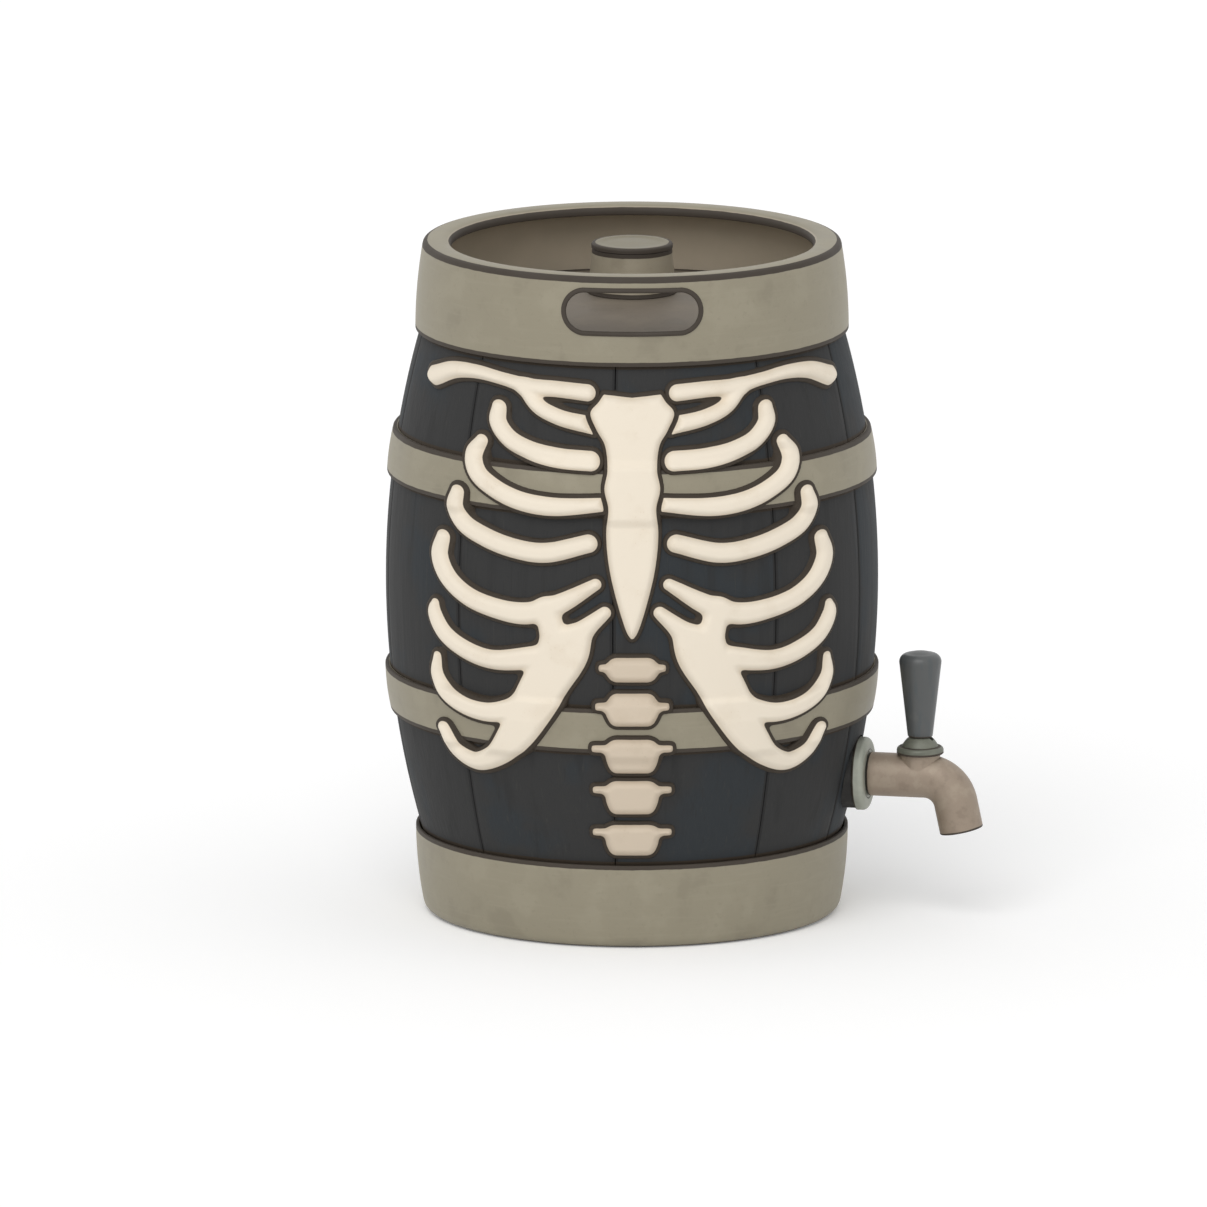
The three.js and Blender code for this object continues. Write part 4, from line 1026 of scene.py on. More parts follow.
@dataclass
class Hoops(Assembly):
    """Two bands, each with a riveted lap at the back."""

    crown: float = 0.8
    edge: float = 1.2
    fit: float = 0.05
    steps: int = 12
    lap_thickness: float = 1.8
    lap_inset: float = 2.4
    lap_half_angle: float = 12
    lap_facet: float = 2
    lap_edge: float = 0.5
    lap_steps: int = 8
    lap_line_share: float = 1.6
    rivet_angle: float = 6
    rivet_gap: float = 0.35
    rivet_head: float = 6.5
    rivet_height: float = 3
    rivet_rim: float = 0.5
    rivet_shank: float = 3
    rivet_facet: float = 12

    def outer(self, height: float) -> float:
        """Gives the band's outer radius at a height, without its crown."""
        return float(self.barrel.radius(height)) + self.barrel.hoop_thickness

    def band(self, name: str, middle: float) -> Piece:
        """Makes one band with its lap.

        Args:
            name: upper or lower.
            middle: the height of the hoop's middle.

        Returns:
            The band, about the upright axis.
        """
        half = self.barrel.hoop_width / 2
        heights = spread(middle - half, middle + half, self.steps)
        rise = [self.crown * (1 - ((z - middle) / half) ** 2) for z in heights]
        outside = [(self.outer(z) - self.crown + up, z) for z, up in zip(heights, rise)]
        inside = [(float(self.barrel.radius(z)) + self.fit, z) for z in reversed(heights)]
        band = self.bench.turned(f"hoop_{name}_band", [*outside, *inside])
        self.bench.bevel(band, self.edge)
        self.bench.line_rings(band, [(self.outer(middle + up), middle + up) for up in (-half, half)])
        return self.bench.gather([band, self.lap(name, middle, half - self.lap_inset)])

    def lap(self, name: str, middle: float, reach: float) -> Piece:
        """Makes the lap of a band that reaches some way up and down from its middle.

        Args:
            name: upper or lower.
            middle: the height of the hoop's middle.
            reach: how far it goes up and down from there.

        Returns:
            The lap, at the back.
        """
        heights = spread(middle - reach, middle + reach, self.lap_steps)
        over = [(self.outer(z) + self.lap_thickness, z) for z in heights]
        under = [(self.outer(z) - self.barrel.hoop_thickness / 2, z) for z in reversed(heights)]
        start, sweep = 180 - self.lap_half_angle, 2 * self.lap_half_angle
        lap = self.bench.turned(f"lap_{name}", [*over, *under], start, sweep, self.lap_facet)
        self.bench.bevel(lap, self.lap_edge)
        co = self.bench.places(lap)
        sideways = np.abs(np.abs(np.degrees(np.arctan2(co[:, 0], co[:, 1]))) - self.lap_half_angle)
        upright = np.abs(np.abs(co[:, 2] - middle) - reach)
        away = np.minimum(np.radians(sideways) * self.barrel.bulge_radius, upright)
        self.bench.line(lap, away * self.lap_line_share)
        return lap

    def rivet(self) -> Piece:
        """Makes a domed rivet that stands on the origin.

        Returns:
            The rivet, with its head up.
        """
        head, height, rim, shank = self.rivet_head, self.rivet_height, self.rivet_rim, self.rivet_shank
        dome = [(head * math.cos(a), rim + (height - rim) * math.sin(a)) for a in spread(0, math.pi / 2, 8)]
        outline = [(0, -shank), (shank, -shank), (shank, 0), (head, 0), *dome[:-1], (0, height)]
        rivet = self.bench.turned("rivet", outline, step=self.rivet_facet)
        self.bench.line_rings(rivet, [(head, 0)])
        return rivet

    def rivet_place(self, angle: float, middle: float) -> Matrix:
        """Gives the way from the origin to a rivet's seat on a lap.

        Args:
            angle: how far it is from the back's middle, in degrees.
            middle: the height of the hoop's middle.

        Returns:
            The way there.
        """
        slope = float(self.barrel.radius(middle + 1) - self.barrel.radius(middle - 1)) / 2
        seat_radius = self.outer(middle) + self.lap_thickness + self.rivet_gap
        seat = Matrix.Translation(Vector((0, seat_radius, middle)) * MM)
        tilt = Matrix.Rotation(math.radians(-90) - math.atan(slope), 4, "X")
        return self.barrel.axis @ Matrix.Rotation(math.radians(angle), 4, "Z") @ seat @ tilt

    def build(self, metal: Material) -> None:
        """Makes both bands and their four rivets.

        Args:
            metal: what bands and rivets are made of.
        """
        rivet = self.rivet()
        for name, middle in zip(("upper", "lower"), self.barrel.hoop_middles):
            band, place = self.band(name, middle), self.barrel.axis
            self.bench.set_down(band, place, metal, Body.KEG, Slot.AGED, f"hoop_{name}")
            for side, angle in (("left", self.rivet_angle), ("right", -self.rivet_angle)):
                head = self.bench.twin(rivet, f"rivet_{name}_{side}_head")
                place = self.rivet_place(angle, middle)
                self.bench.set_down(head, place, metal, Body.KEG, Slot.AGED, f"rivet_{name}_{side}")
        bpy.data.objects.remove(rivet)


# A rim's points are (radius, distance from the chime's barrel edge), in millimetres.
TOP_RIM = (
    (182.55, 74), (182.2, 75.2), (181.5, 76.2), (180.4, 76.95), (178.6, 77.5), (175.8, 77.85), (172.8, 77.98),
    (169.8, 77.98), (166.8, 77.98), (164.2, 77.7), (161.7, 76.9), (159.7, 75.6), (158.4, 73.9), (157.95, 72),
    (157.95, 70.4), (157.95, 69), (160.3, 69), (161.15, 69.6), (161.5, 71.3), (162.6, 73), (164.4, 74.2),
    (166.8, 74.8), (172.8, 74.8), (176.5, 74.5), (178.6, 73.6),
)
FOOT_RIM = (
    (182.3, 68), (181.3, 70.2), (179.7, 72.1), (177.5, 73.6), (175, 74.6), (172.5, 75), (166.5, 75),
    (160.5, 75), (158.3, 74.6), (157.2, 73.5), (156.95, 72), (156.95, 67), (160, 67), (160.3, 70.5),
    (162, 71.8), (172.5, 71.8), (175.6, 70.8), (178.2, 68.6),
)


@dataclass(frozen=True)
class Chime:
    """A chime's section, with its heights counted from its barrel edge towards its rim."""

    name: str
    lean: float
    height: float
    outside_end: float
    inside_end: float
    steps: int
    rim: Outline
    rings: Outline
    wall: float = 3.2
    root_radius: float = 188.95

    def face(self, away: Any) -> Any:
        """Gives the outer radius at a distance from the barrel edge, or at an array of them."""
        return self.root_radius - self.lean * (away / self.height) ** 2

    def outline(self) -> Outline:
        """Draws the section.

        Returns:
            Its points as (radius, distance from the barrel edge).
        """
        outside = [(self.face(d), d) for d in spread(0, self.outside_end, self.steps)]
        inside = [(self.face(d) - self.wall, d) for d in spread(self.inside_end, 0, 12)]
        return [*outside, *self.rim, *inside]


@dataclass
class Chimes(Assembly):
    """The two rolled chimes, and the hand-hole through the front of the top one."""

    edge: float = 0.8
    sharp: float = 60
    hole_width: float = 119
    hole_height: float = 37.5
    hole_below_top: float = 30.4
    lip: float = 2.2
    lip_sink: float = 0.3
    lip_cuts: int = 9
    inner_end: float = 76
    cut_from_to: Point = (100, 220)
    long_edge: float = 10
    off_middle: float = 0.01

    @property
    def top(self) -> Chime:
        """The top chime, whose rim rolls in to a short lip."""
        rings = ((182.0, 76.2), (158.2, 72.6))
        return Chime("chime_top_shell", 7, self.barrel.top_chime, 72.5, 71.8, 24, TOP_RIM, rings)

    @property
    def foot(self) -> Chime:
        """The foot chime, whose rim rolls in under the keg."""
        rings = ((174, 75), (165, 75), (156.95, 73))
        return Chime("chime_bottom_shell", 8, self.barrel.foot_chime, 66, 65.5, 22, FOOT_RIM, rings)

    def shell(self, chime: Chime, seat: float, way: int) -> Piece:
        """Turns a chime.

        Args:
            chime: its section.
            seat: the height of its barrel edge.
            way: 1 where its rim is above that edge, and -1 where it is below.

        Returns:
            The chime, about the upright axis.
        """
        shell = self.bench.turned(chime.name, [(r, seat + way * d) for r, d in chime.outline()])
        self.bench.bevel(shell, self.edge, angle=self.sharp)
        self.bench.line_rings(shell, [(r, seat + way * d) for r, d in ((chime.root_radius, 0), *chime.rings)])
        return shell

    def mark_inside(self, shell: Piece) -> None:
        """Notes which vertices of the top chime lie on its inner side.

        Args:
            shell: the chime, still about the upright axis.
        """
        co, top = self.bench.places(shell), self.top
        radius, away = np.hypot(co[:, 0], co[:, 1]), co[:, 2] - self.barrel.top_edge
        inner = (radius < top.face(away) - top.wall / 2) & (away < self.inner_end) & (away > 1)
        self.bench.note(shell, INNER, np.where(inner, 1.0, 0.0))

    @property
    def hole_middle(self) -> float:
        """The height of the hand-hole's middle."""
        return self.barrel.height - self.hole_below_top

    def stretch(self, piece: Piece) -> None:
        """Pulls the two sides of a round piece apart, to the hand-hole's width, and leaves it open.

        Args:
            piece: the piece.
        """
        across = self.bench.places(piece)[:, 0]
        self.bench.open(piece, "DESELECT")
        for side in (-1, 1):
            self.bench.pick(piece, side * across > self.off_middle)
            bpy.ops.transform.translate(value=(side * (self.hole_width - self.hole_height) / 2 * MM, 0, 0))

    def hole_cutter(self) -> Piece:
        """Makes a long stadium that goes through the front of the chime.

        Returns:
            The cutter, about the upright axis.
        """
        cutter = self.bench.rod("hand_hole_cutter", self.hole_height / 2, *self.cut_from_to)
        self.bench.settle(cutter, Matrix.Rotation(math.radians(90), 4, "X"))
        self.stretch(cutter)
        self.bench.settle(cutter, Matrix.Translation((0, 0, self.hole_middle * MM)))
        return cutter

    def hole_lip(self) -> Piece:
        """Makes the rolled lip round the hand-hole, laid on the chime's face at the front.

        Returns:
            The lip, about the upright axis.
        """
        self.bench.clear()
        bpy.ops.mesh.primitive_torus_add(
            major_segments=56, minor_segments=12, major_radius=self.hole_height / 2 * MM,
            minor_radius=self.lip * MM, rotation=(math.radians(90), 0, 0),
        )
        lip = self.bench.named("hand_hole_lip")
        self.stretch(lip)
        mesh = bmesh.from_edit_mesh(lip.data)
        for edge in mesh.edges:
            edge.select_set(edge.calc_length() > self.long_edge * MM)
        bmesh.update_edit_mesh(lip.data)
        bpy.ops.mesh.subdivide(number_cuts=self.lip_cuts)
        self.bench.face_out(lip)
        co = self.bench.places(lip)
        co[:, 2] += self.hole_middle
        face = self.top.face(co[:, 2] - self.barrel.top_edge)
        co[:, 1] -= np.sqrt(face**2 - co[:, 0] ** 2) - self.lip_sink
        self.bench.put(lip, co)
        self.bench.line(lip, np.zeros(len(co)))
        return lip

    def build(self, metal: Material) -> None:
        """Makes both chimes, cuts the hand-hole and sets its lip.

        Args:
            metal: what the chimes are made of.
        """
        top = self.shell(self.top, self.barrel.top_edge, 1)
        self.mark_inside(top)
        self.bench.combine(top, self.hole_cutter())
        foot = self.shell(self.foot, self.barrel.foot_chime, -1)
        rows = [(top, "chime_top", "rim_top"), (foot, "chime_bottom", "rim_bottom"), (self.hole_lip(),)]
        for piece, *nodes in rows:
            self.bench.set_down(piece, self.barrel.axis, metal, Body.KEG, Slot.AGED, *nodes)


# The neck's and the cap's points are (radius, height), in millimetres.
NECK_OUTSIDE = (
    (39.6, 547.3), (39.1, 548.4), (38.7, 550), (37.9, 555), (36.7, 565), (35.7, 576), (35, 584.6),
    (35, 586.05),
)
NECK_BORE = ((26.1, 586.05), (26.1, 550.3), (21.8, 550.3), (21.8, 547.3))
CAP = (
    (0, 590.2), (8, 590.2), (20, 590.25), (26.5, 590.3), (28, 590.8), (29.5, 591), (33.6, 591), (34.8, 590.6),
    (35.4, 589.9), (35.6, 589), (35.6, 586.6), (35.3, 586.4), (25.6, 586.4), (25.6, 579.1), (22.7, 579.1),
    (22.7, 586.4), (0, 586.4),
)


@dataclass
class Well(Assembly):
    """The dished heads, the neck in the top well and its cap."""

    flange: float = 2.6
    wall: float = 2.5
    skirt: float = 22
    skirt_inset: float = 17.2
    seat_tuck: float = 14.35
    top_rise: float = 14
    foot_drop: float = 10
    top_bore: float = 26.3
    flat: float = 43.5
    shoulder: float = 160.5
    rim: float = 185.1
    crown_power: float = 1.74
    steps: int = 16
    edge: float = 0.7
    neck_edge: float = 0.5
    sharp: float = 60
    cap_line: Point = (35.6, 589.6)

    def head(self, name: str, seat: float, way: int, rise: float, bore: float) -> Piece:
        """Makes a dished head with a flange and a skirt.

        Args:
            name: the piece's name.
            seat: the height of the staves' end that it lies on.
            way: 1 for a head that crowns upwards, and -1 downwards.
            rise: how far its crown stands beyond its flange.
            bore: the radius of the hole in its middle, or 0.

        Returns:
            The head.
        """
        radii = [bore, *spread(self.flat, self.shoulder, self.steps)]
        shares = [0, *spread(0, 1, self.steps)]
        crown = [(r, self.flange + rise * (1 - s**self.crown_power)) for r, s in zip(radii, shares)]
        outer = float(self.barrel.radius(seat)) - self.skirt_inset
        inner = outer - self.wall
        outside = [*crown, (self.rim, self.flange), (self.rim, 0), (outer, 0), (outer, -self.skirt)]
        inside = [(inner, -self.skirt), (inner, self.flange - self.wall)]
        inside += [(r, z - self.wall) for r, z in reversed(crown[:-1])]
        head = self.bench.turned(name, [(r, seat + way * z) for r, z in [*outside, *inside]], step=3)
        self.bench.bevel(head, self.edge, angle=self.sharp)
        self.bench.line_rings(head, [(self.rim, seat + way * self.flange)])
        return head

    def neck(self) -> Piece:
        """Makes the neck, which flares to its weld.

        Returns:
            The neck.
        """
        neck = self.bench.turned("neck_collar_body", [*NECK_OUTSIDE, *NECK_BORE], step=4)
        self.bench.bevel(neck, self.neck_edge, angle=self.sharp)
        self.bench.line_rings(neck, [NECK_OUTSIDE[0], NECK_OUTSIDE[-1]])
        return neck

    def cap(self) -> Piece:
        """Makes the push-on cap, with a shallow dish and a rolled edge.

        Returns:
            The cap.
        """
        cap = self.bench.turned("neck_cap_lid", CAP, step=4)
        self.bench.line_rings(cap, [self.cap_line])
        return cap

    def build(self, well: Material, neck: Material, lid: Material) -> None:
        """Makes the heads, the neck and the cap.

        Args:
            well: what the heads are made of.
            neck: what the neck is made of.
            lid: what the cap is made of.
        """
        top_seat, foot_seat = self.barrel.top_edge + self.seat_tuck, self.barrel.foot_chime - self.seat_tuck
        top = self.head("top_head_dish", top_seat, 1, self.top_rise, self.top_bore)
        bottom = self.head("bottom_head_dish", foot_seat, -1, self.foot_drop, 0)
        rows = [
            (top, well, Body.KEG, Slot.INNER, "top_head"),
            (bottom, well, Body.KEG, Slot.INNER, "bottom_head"),
            (self.neck(), neck, Body.KEG, Slot.INNER, "neck_collar"),
            (self.cap(), lid, Body.CAP, Slot.AGED, "neck_cap"),
        ]
        for piece, *rest in rows:
            self.bench.set_down(piece, self.barrel.axis, *rest)


@dataclass
class Tap(Assembly):
    """The tap, in its own frame: X out along its shank, and Z up."""

    azimuth: float = 12
    height: float = 127
    gap: float = 0.35
    spot_plane: float = 199.03
    spot_radius: float = 33
    spot_gap: float = 0.4
    shank_hole: float = 13.35
    cut_start: float = 150
    cut_reach: float = 30
    flange_back: float = 201.58
    flange_front: float = 212.08
    flange_radius: float = 32
    flange_corner: float = 5
    flange_chamfer: float = 1.2
    flange_bore: float = 13.4
    recess_radius: float = 21.5
    recess_slope: float = 1
    recess_depth: float = 0.4
    recess_line: float = 20.6
    body_root: float = 212.43
    body_edge: float = 1.2
    pipe_radius: float = 19.1
    pipe_bore: float = 11.5
    pipe_steps: int = 7
    straight: float = 49
    bend_radius: float = 28
    bend: float = 78
    bend_steps: int = 22
    spout: float = 25.4
    spout_shares: tuple[float, ...] = (0.45, 0.45, 0.1)
    bore_depths: tuple[float, ...] = (3, 20)
    line_inset: float = 0.6
    boss_radius: float = 17.5
    boss_root: float = 2
    boss_rise: float = 0.8
    boss_from_root: float = 44.6
    pocket_radius: float = 8.8
    pocket_floor: float = 13.3
    pivot_rise: float = 0.7
    ball_radius: float = 7.1
    bonnet_radius: float = 20.5
    bonnet_height: float = 6.5
    bonnet_corner: float = 3.5
    bonnet_chamfer: float = 0.6
    dome_radius: float = 17
    slot_half: float = 4.2
    swing: float = 30
    overrun: float = 3
    cup_gap: float = 0.7
    handle_base: float = 10
    handle_chamfer: float = 1
    lip_out: float = 0.4
    lip_up: float = 0.1
    lip_line: float = 0.6
    handle_top: float = 18.5
    handle_height: float = 76
    handle_corner: float = 7.5
    handle_crown: float = 2
    stem_hole: float = 3.9
    stem_depth: float = 26

    @property
    def frame(self) -> Matrix:
        """The way from the tap's frame to the keg's."""
        shift = Matrix.Translation((0, 0, self.height * MM))
        return self.barrel.axis @ shift @ Matrix.Rotation(-math.radians(self.azimuth), 4, "Z")

    @property
    def outward(self) -> Matrix:
        """The way from a piece about the upright axis to one about the shank's."""
        return self.frame @ Matrix.Rotation(math.radians(90), 4, "Y")

    @property
    def handle_axis(self) -> float:
        """How far out the handle stands."""
        return self.body_root + self.boss_from_root

    @property
    def boss_top(self) -> float:
        """How high the boss stands above the shank's axis."""
        return self.pipe_radius + self.boss_rise

    @property
    def pivot(self) -> float:
        """How high the lever's ball stands above the shank's axis."""
        return self.boss_top + self.pivot_rise

    @property
    def upright(self) -> Matrix:
        """The way from a piece about the upright axis to the handle's place."""
        return self.frame @ Matrix.Translation((self.handle_axis * MM, 0, 0))

    @property
    def spout_way(self) -> Vector:
        """The direction in which the spout goes down."""
        bend = math.radians(self.bend)
        return Vector((math.cos(bend), 0, -math.sin(bend)))

    def seat_cutters(self) -> list[Piece]:
        """Makes what sinks the tap's seat and shank hole into a stave.

        Returns:
            The cutters, in their places.
        """
        end = self.spot_plane + self.cut_reach
        seat = self.bench.rod("seat_cutter", self.spot_radius + self.spot_gap, self.spot_plane, end, 96)
        hole = self.bench.rod("shank_cutter", self.shank_hole, self.cut_start, end, 48)
        for cutter in (seat, hole):
            self.bench.settle(cutter, self.outward)
        return [seat, hole]

    def flange(self) -> Piece:
        """Makes the wall flange, a disc with a rounded front edge and a shallow recess round the faucet.

        Returns:
            The flange, about the upright axis.
        """
        radius, corner, chamfer = self.flange_radius, self.flange_corner, self.flange_chamfer
        front, back, floor = self.flange_front, self.flange_back, self.flange_front - self.recess_depth
        outline = [(self.flange_bore, back), (radius - chamfer, back), (radius, back + chamfer)]
        outline += arc(corner, (radius - corner, front - corner), 0, 90, 8)
        outline += [(self.recess_radius + self.recess_slope, front), (self.recess_radius, floor)]
        disc = self.bench.turned("tap_flange_disc", [*outline, (self.flange_bore, floor)], step=4)
        self.bench.line_rings(disc, [(radius, back + chamfer / 2), (self.recess_line, front)])
        return disc

    def pipe(self) -> Piece:
        """Makes the faucet: a round bar extruded out, spun down and extruded to a bored spout.

        Returns:
            The faucet without its boss, in the tap's frame.
        """
        ahead, start = self.spout_way * MM, self.body_root + self.straight
        self.bench.clear()
        bpy.ops.mesh.primitive_circle_add(
            vertices=64, radius=self.pipe_radius * MM, fill_type="NGON",
            location=(self.body_root * MM, 0, 0), rotation=(0, math.radians(90), 0),
        )
        pipe = self.bench.named("faucet_pipe")
        self.bench.open(pipe)
        step = (self.straight / self.pipe_steps * MM, 0, 0)
        for _ in range(self.pipe_steps):
            bpy.ops.mesh.extrude_region_move(TRANSFORM_OT_translate={"value": step})
        centre, turn = (start * MM, 0, -self.bend_radius * MM), -math.radians(self.bend)
        bpy.ops.mesh.spin(steps=self.bend_steps, angle=turn, center=centre, axis=(0, 1, 0))
        for share in self.spout_shares:
            bpy.ops.mesh.extrude_region_move(TRANSFORM_OT_translate={"value": ahead * self.spout * share})
        bpy.ops.mesh.inset(thickness=(self.pipe_radius - self.pipe_bore) * MM, depth=0)
        for depth in self.bore_depths:
            bpy.ops.mesh.extrude_region_move(TRANSFORM_OT_translate={"value": ahead * -depth})
        self.bench.seal()
        self.bench.bevel(pipe, self.body_edge, 3, 50)
        return pipe

    def faucet(self) -> Piece:
        """Makes the faucet with the boss that the bonnet stands on, and lines its root and spout.

        Returns:
            The faucet, in the tap's frame.
        """
        pipe, stand = self.pipe(), Matrix.Translation((self.handle_axis * MM, 0, 0))
        boss = self.bench.rod("boss", self.boss_radius, self.boss_root, self.boss_top)
        self.bench.settle(boss, stand)
        self.bench.combine(pipe, boss, "UNION")
        pocket_end = self.boss_top + self.overrun
        pocket = self.bench.rod("pocket", self.pocket_radius, self.pocket_floor, pocket_end, 32)
        self.bench.settle(pocket, stand)
        self.bench.combine(pipe, pocket)
        co, ahead, bend = self.bench.places(pipe), np.array(self.spout_way), math.radians(self.bend)
        bow = np.array([math.sin(bend), 0, math.cos(bend)]) * self.bend_radius
        end = np.array([self.body_root + self.straight, 0, -self.bend_radius]) + bow + ahead * self.spout
        past = (end - co) @ ahead
        to_axis = np.linalg.norm(co - end + np.outer(past, ahead), axis=1)
        at_spout = np.hypot(past - self.line_inset, to_axis - self.pipe_radius)
        at_bore = np.hypot(past, to_axis - self.pipe_bore) + self.line_inset
        at_root = np.abs(co[:, 0] - self.body_root)
        self.bench.line(pipe, np.min([at_spout, at_bore, at_root], axis=0))
        return pipe

    def bonnet(self) -> Piece:
        """Makes the bonnet, with the slot that the lever's stem sweeps.

        Returns:
            The bonnet, about the upright axis.
        """
        pivot, dome, ball = self.pivot, self.dome_radius, self.ball_radius
        radius, corner, chamfer = self.bonnet_radius, self.bonnet_corner, self.bonnet_chamfer
        bottom = self.boss_top + self.gap
        shoulder = bottom + self.bonnet_height
        dome_start = math.degrees(math.asin((shoulder - pivot) / dome))
        socket_start = math.degrees(math.asin((bottom - pivot) / ball))
        outline = [(0, pivot + ball), *arc(ball, (0, pivot), 90, socket_start, 10)[1:]]
        outline += [(radius - chamfer, bottom), (radius, bottom + chamfer)]
        outline += arc(corner, (radius - corner, shoulder - corner), 0, 90, 8)
        outline += [*arc(dome, (0, pivot), dome_start, 90, 14)[:-1], (0, pivot + dome)]
        bonnet = self.bench.turned("bonnet_dome", outline, step=4)
        self.bench.combine(bonnet, self.slot_cutter())
        self.bench.line_rings(bonnet, [(radius, bottom + chamfer), (dome, shoulder)])
        return bonnet

    def slot_cutter(self) -> Piece:
        """Makes the prism that the stem sweeps between upright and fully tipped.

        Returns:
            The prism.
        """
        half, swing, pivot = self.slot_half, math.radians(self.swing), self.pivot
        reach = self.dome_radius + self.overrun + half
        sine, cosine = math.sin(swing), math.cos(swing)
        outline = [(-half, pivot), (half * cosine, pivot - half * sine)]
        outline += [(reach * sine + half * cosine, pivot + reach * cosine - half * sine)]
        outline += [(reach * sine, pivot + reach), (-half, pivot + reach)]
        return self.bench.prism("slot_cutter", outline, half)

    def handle(self) -> Piece:
        """Makes the handle: a flared grip hollowed below to the bonnet's dome.

        Returns:
            The handle, about the upright axis.
        """
        cup, pivot = self.dome_radius + self.cup_gap, self.pivot
        corner, crown = self.handle_corner, self.handle_crown
        cup_start = math.degrees(math.acos(self.stem_hole / cup))
        cup_end = math.degrees(math.acos(self.handle_base / cup))
        base = pivot + cup * math.sin(math.radians(cup_end))
        top = base + self.handle_height
        waist = Vector((self.handle_base + self.handle_chamfer, base + self.handle_chamfer))
        wide = Vector((self.handle_top, top - crown - corner))
        flat = self.handle_top - corner
        deep = pivot + self.dome_radius + self.stem_depth + self.gap
        outline = [(0, deep), (self.stem_hole, deep), *arc(cup, (0, pivot), cup_start, cup_end, 8)]
        outline.append((self.handle_base + self.lip_out, base + self.lip_up))
        outline += [tuple(waist.lerp(wide, s)) for s in spread(0, 1, 14)]
        outline += arc(corner, (flat, wide.y), 0, 90, 10)[1:]
        outline += [(flat * (1 - s), top - crown * (1 - s) ** 2) for s in spread(0, 1, 6)[1:]]
        handle = self.bench.turned("tap_handle_grip", outline, step=4)
        self.bench.line_rings(handle, [(self.handle_base + self.lip_line, base + self.lip_out)])
        return handle

    def build(self, flange: Material, body: Material, bonnet: Material, grip: Material) -> None:
        """Makes the tap's four outer pieces.

        Args:
            flange: what the flange is made of.
            body: what the faucet is made of.
            bonnet: what the bonnet is made of.
            grip: what the handle is made of.
        """
        rows = [
            (self.flange(), self.outward, flange, Body.KEG, Slot.PEWTER, "tap_flange"),
            (self.faucet(), self.frame, body, Body.KEG, Slot.BRONZE, "faucet_body"),
            (self.bonnet(), self.upright, bonnet, Body.KEG, Slot.PEWTER, "bonnet"),
            (self.handle(), self.upright, grip, Body.HANDLE, Slot.HANDLE, "tap_handle"),
        ]
        for row in rows:
            self.bench.set_down(*row)


# The knots that each step of a curve's point lies between, for the three steps that work it out.
SPANS = (((0, 1), (1, 2), (2, 3)), ((0, 2), (1, 3)), ((1, 2),))


@dataclass(frozen=True)
class Strand:
    """A bone's stroke along a centre-line, drawn as it is seen from the front.

    Each row is (across, up, half-width). Across is a share of the cage's half-width, up of its height, and
    the half-width of the bones' unit.
    """

    rows: tuple[tuple[float, float, float], ...]

    def flow(self, scale: Sequence[float], step: float = 1.0) -> np.ndarray:
        """Runs a smooth curve through the rows.

        Args:
            scale: what the three columns are multiplied by.
            step: about how far apart the curve's points lie, in millimetres.

        Returns:
            Rows of (across, up, half-width) in millimetres.
        """
        rows = np.array(self.rows) * np.array(scale)
        rows = np.vstack([2 * rows[0] - rows[1], rows, 2 * rows[-1] - rows[-2]])
        found = []
        for near in zip(rows, rows[1:], rows[2:], rows[3:]):
            gaps = [max(float(np.linalg.norm(q - p)), 1e-6) ** 0.5 for p, q in zip(near, near[1:])]
            knots = np.cumsum([0, *gaps])
            count = max(2, round(float(np.linalg.norm(near[2][:2] - near[1][:2])) / step))
            for t in np.linspace(knots[1], knots[2], count, endpoint=False):
                level = near
                for spans in SPANS:
                    shares = [(t - knots[start]) / (knots[end] - knots[start]) for start, end in spans]
                    level = [p * (1 - s) + q * s for p, q, s in zip(level, level[1:], shares)]
                found.append(level[0])
        return np.array([*found, rows[-2]])


CLAVICLE = (
    Strand((
        (-0.965, 0.972, 0.046), (-0.87, 0.994, 0.04), (-0.76, 1, 0.034), (-0.63, 0.994, 0.032),
        (-0.5, 0.985, 0.04), (-0.36, 0.984, 0.04), (-0.22, 0.98, 0.042),
    )),
    Strand(((-0.52, 0.98, 0.04), (-0.46, 0.948, 0.04), (-0.36, 0.928, 0.04), (-0.19, 0.914, 0.044))),
)
RIB_2 = (
    Strand((
        (-0.65, 0.937, 0.036), (-0.655, 0.907, 0.044), (-0.6, 0.876, 0.046), (-0.5, 0.857, 0.046),
        (-0.36, 0.846, 0.048), (-0.205, 0.843, 0.048),
    )),
)
RIB_3 = (
    Strand((
        (-0.735, 0.865, 0.03), (-0.775, 0.833, 0.043), (-0.755, 0.8, 0.048), (-0.67, 0.773, 0.048),
        (-0.56, 0.755, 0.048), (-0.41, 0.747, 0.047), (-0.13, 0.756, 0.034),
    )),
)
RIB_4 = (
    Strand((
        (-0.855, 0.756, 0.032), (-0.868, 0.724, 0.042), (-0.825, 0.691, 0.048), (-0.72, 0.668, 0.05),
        (-0.58, 0.652, 0.05), (-0.43, 0.648, 0.05), (-0.215, 0.672, 0.046),
    )),
)
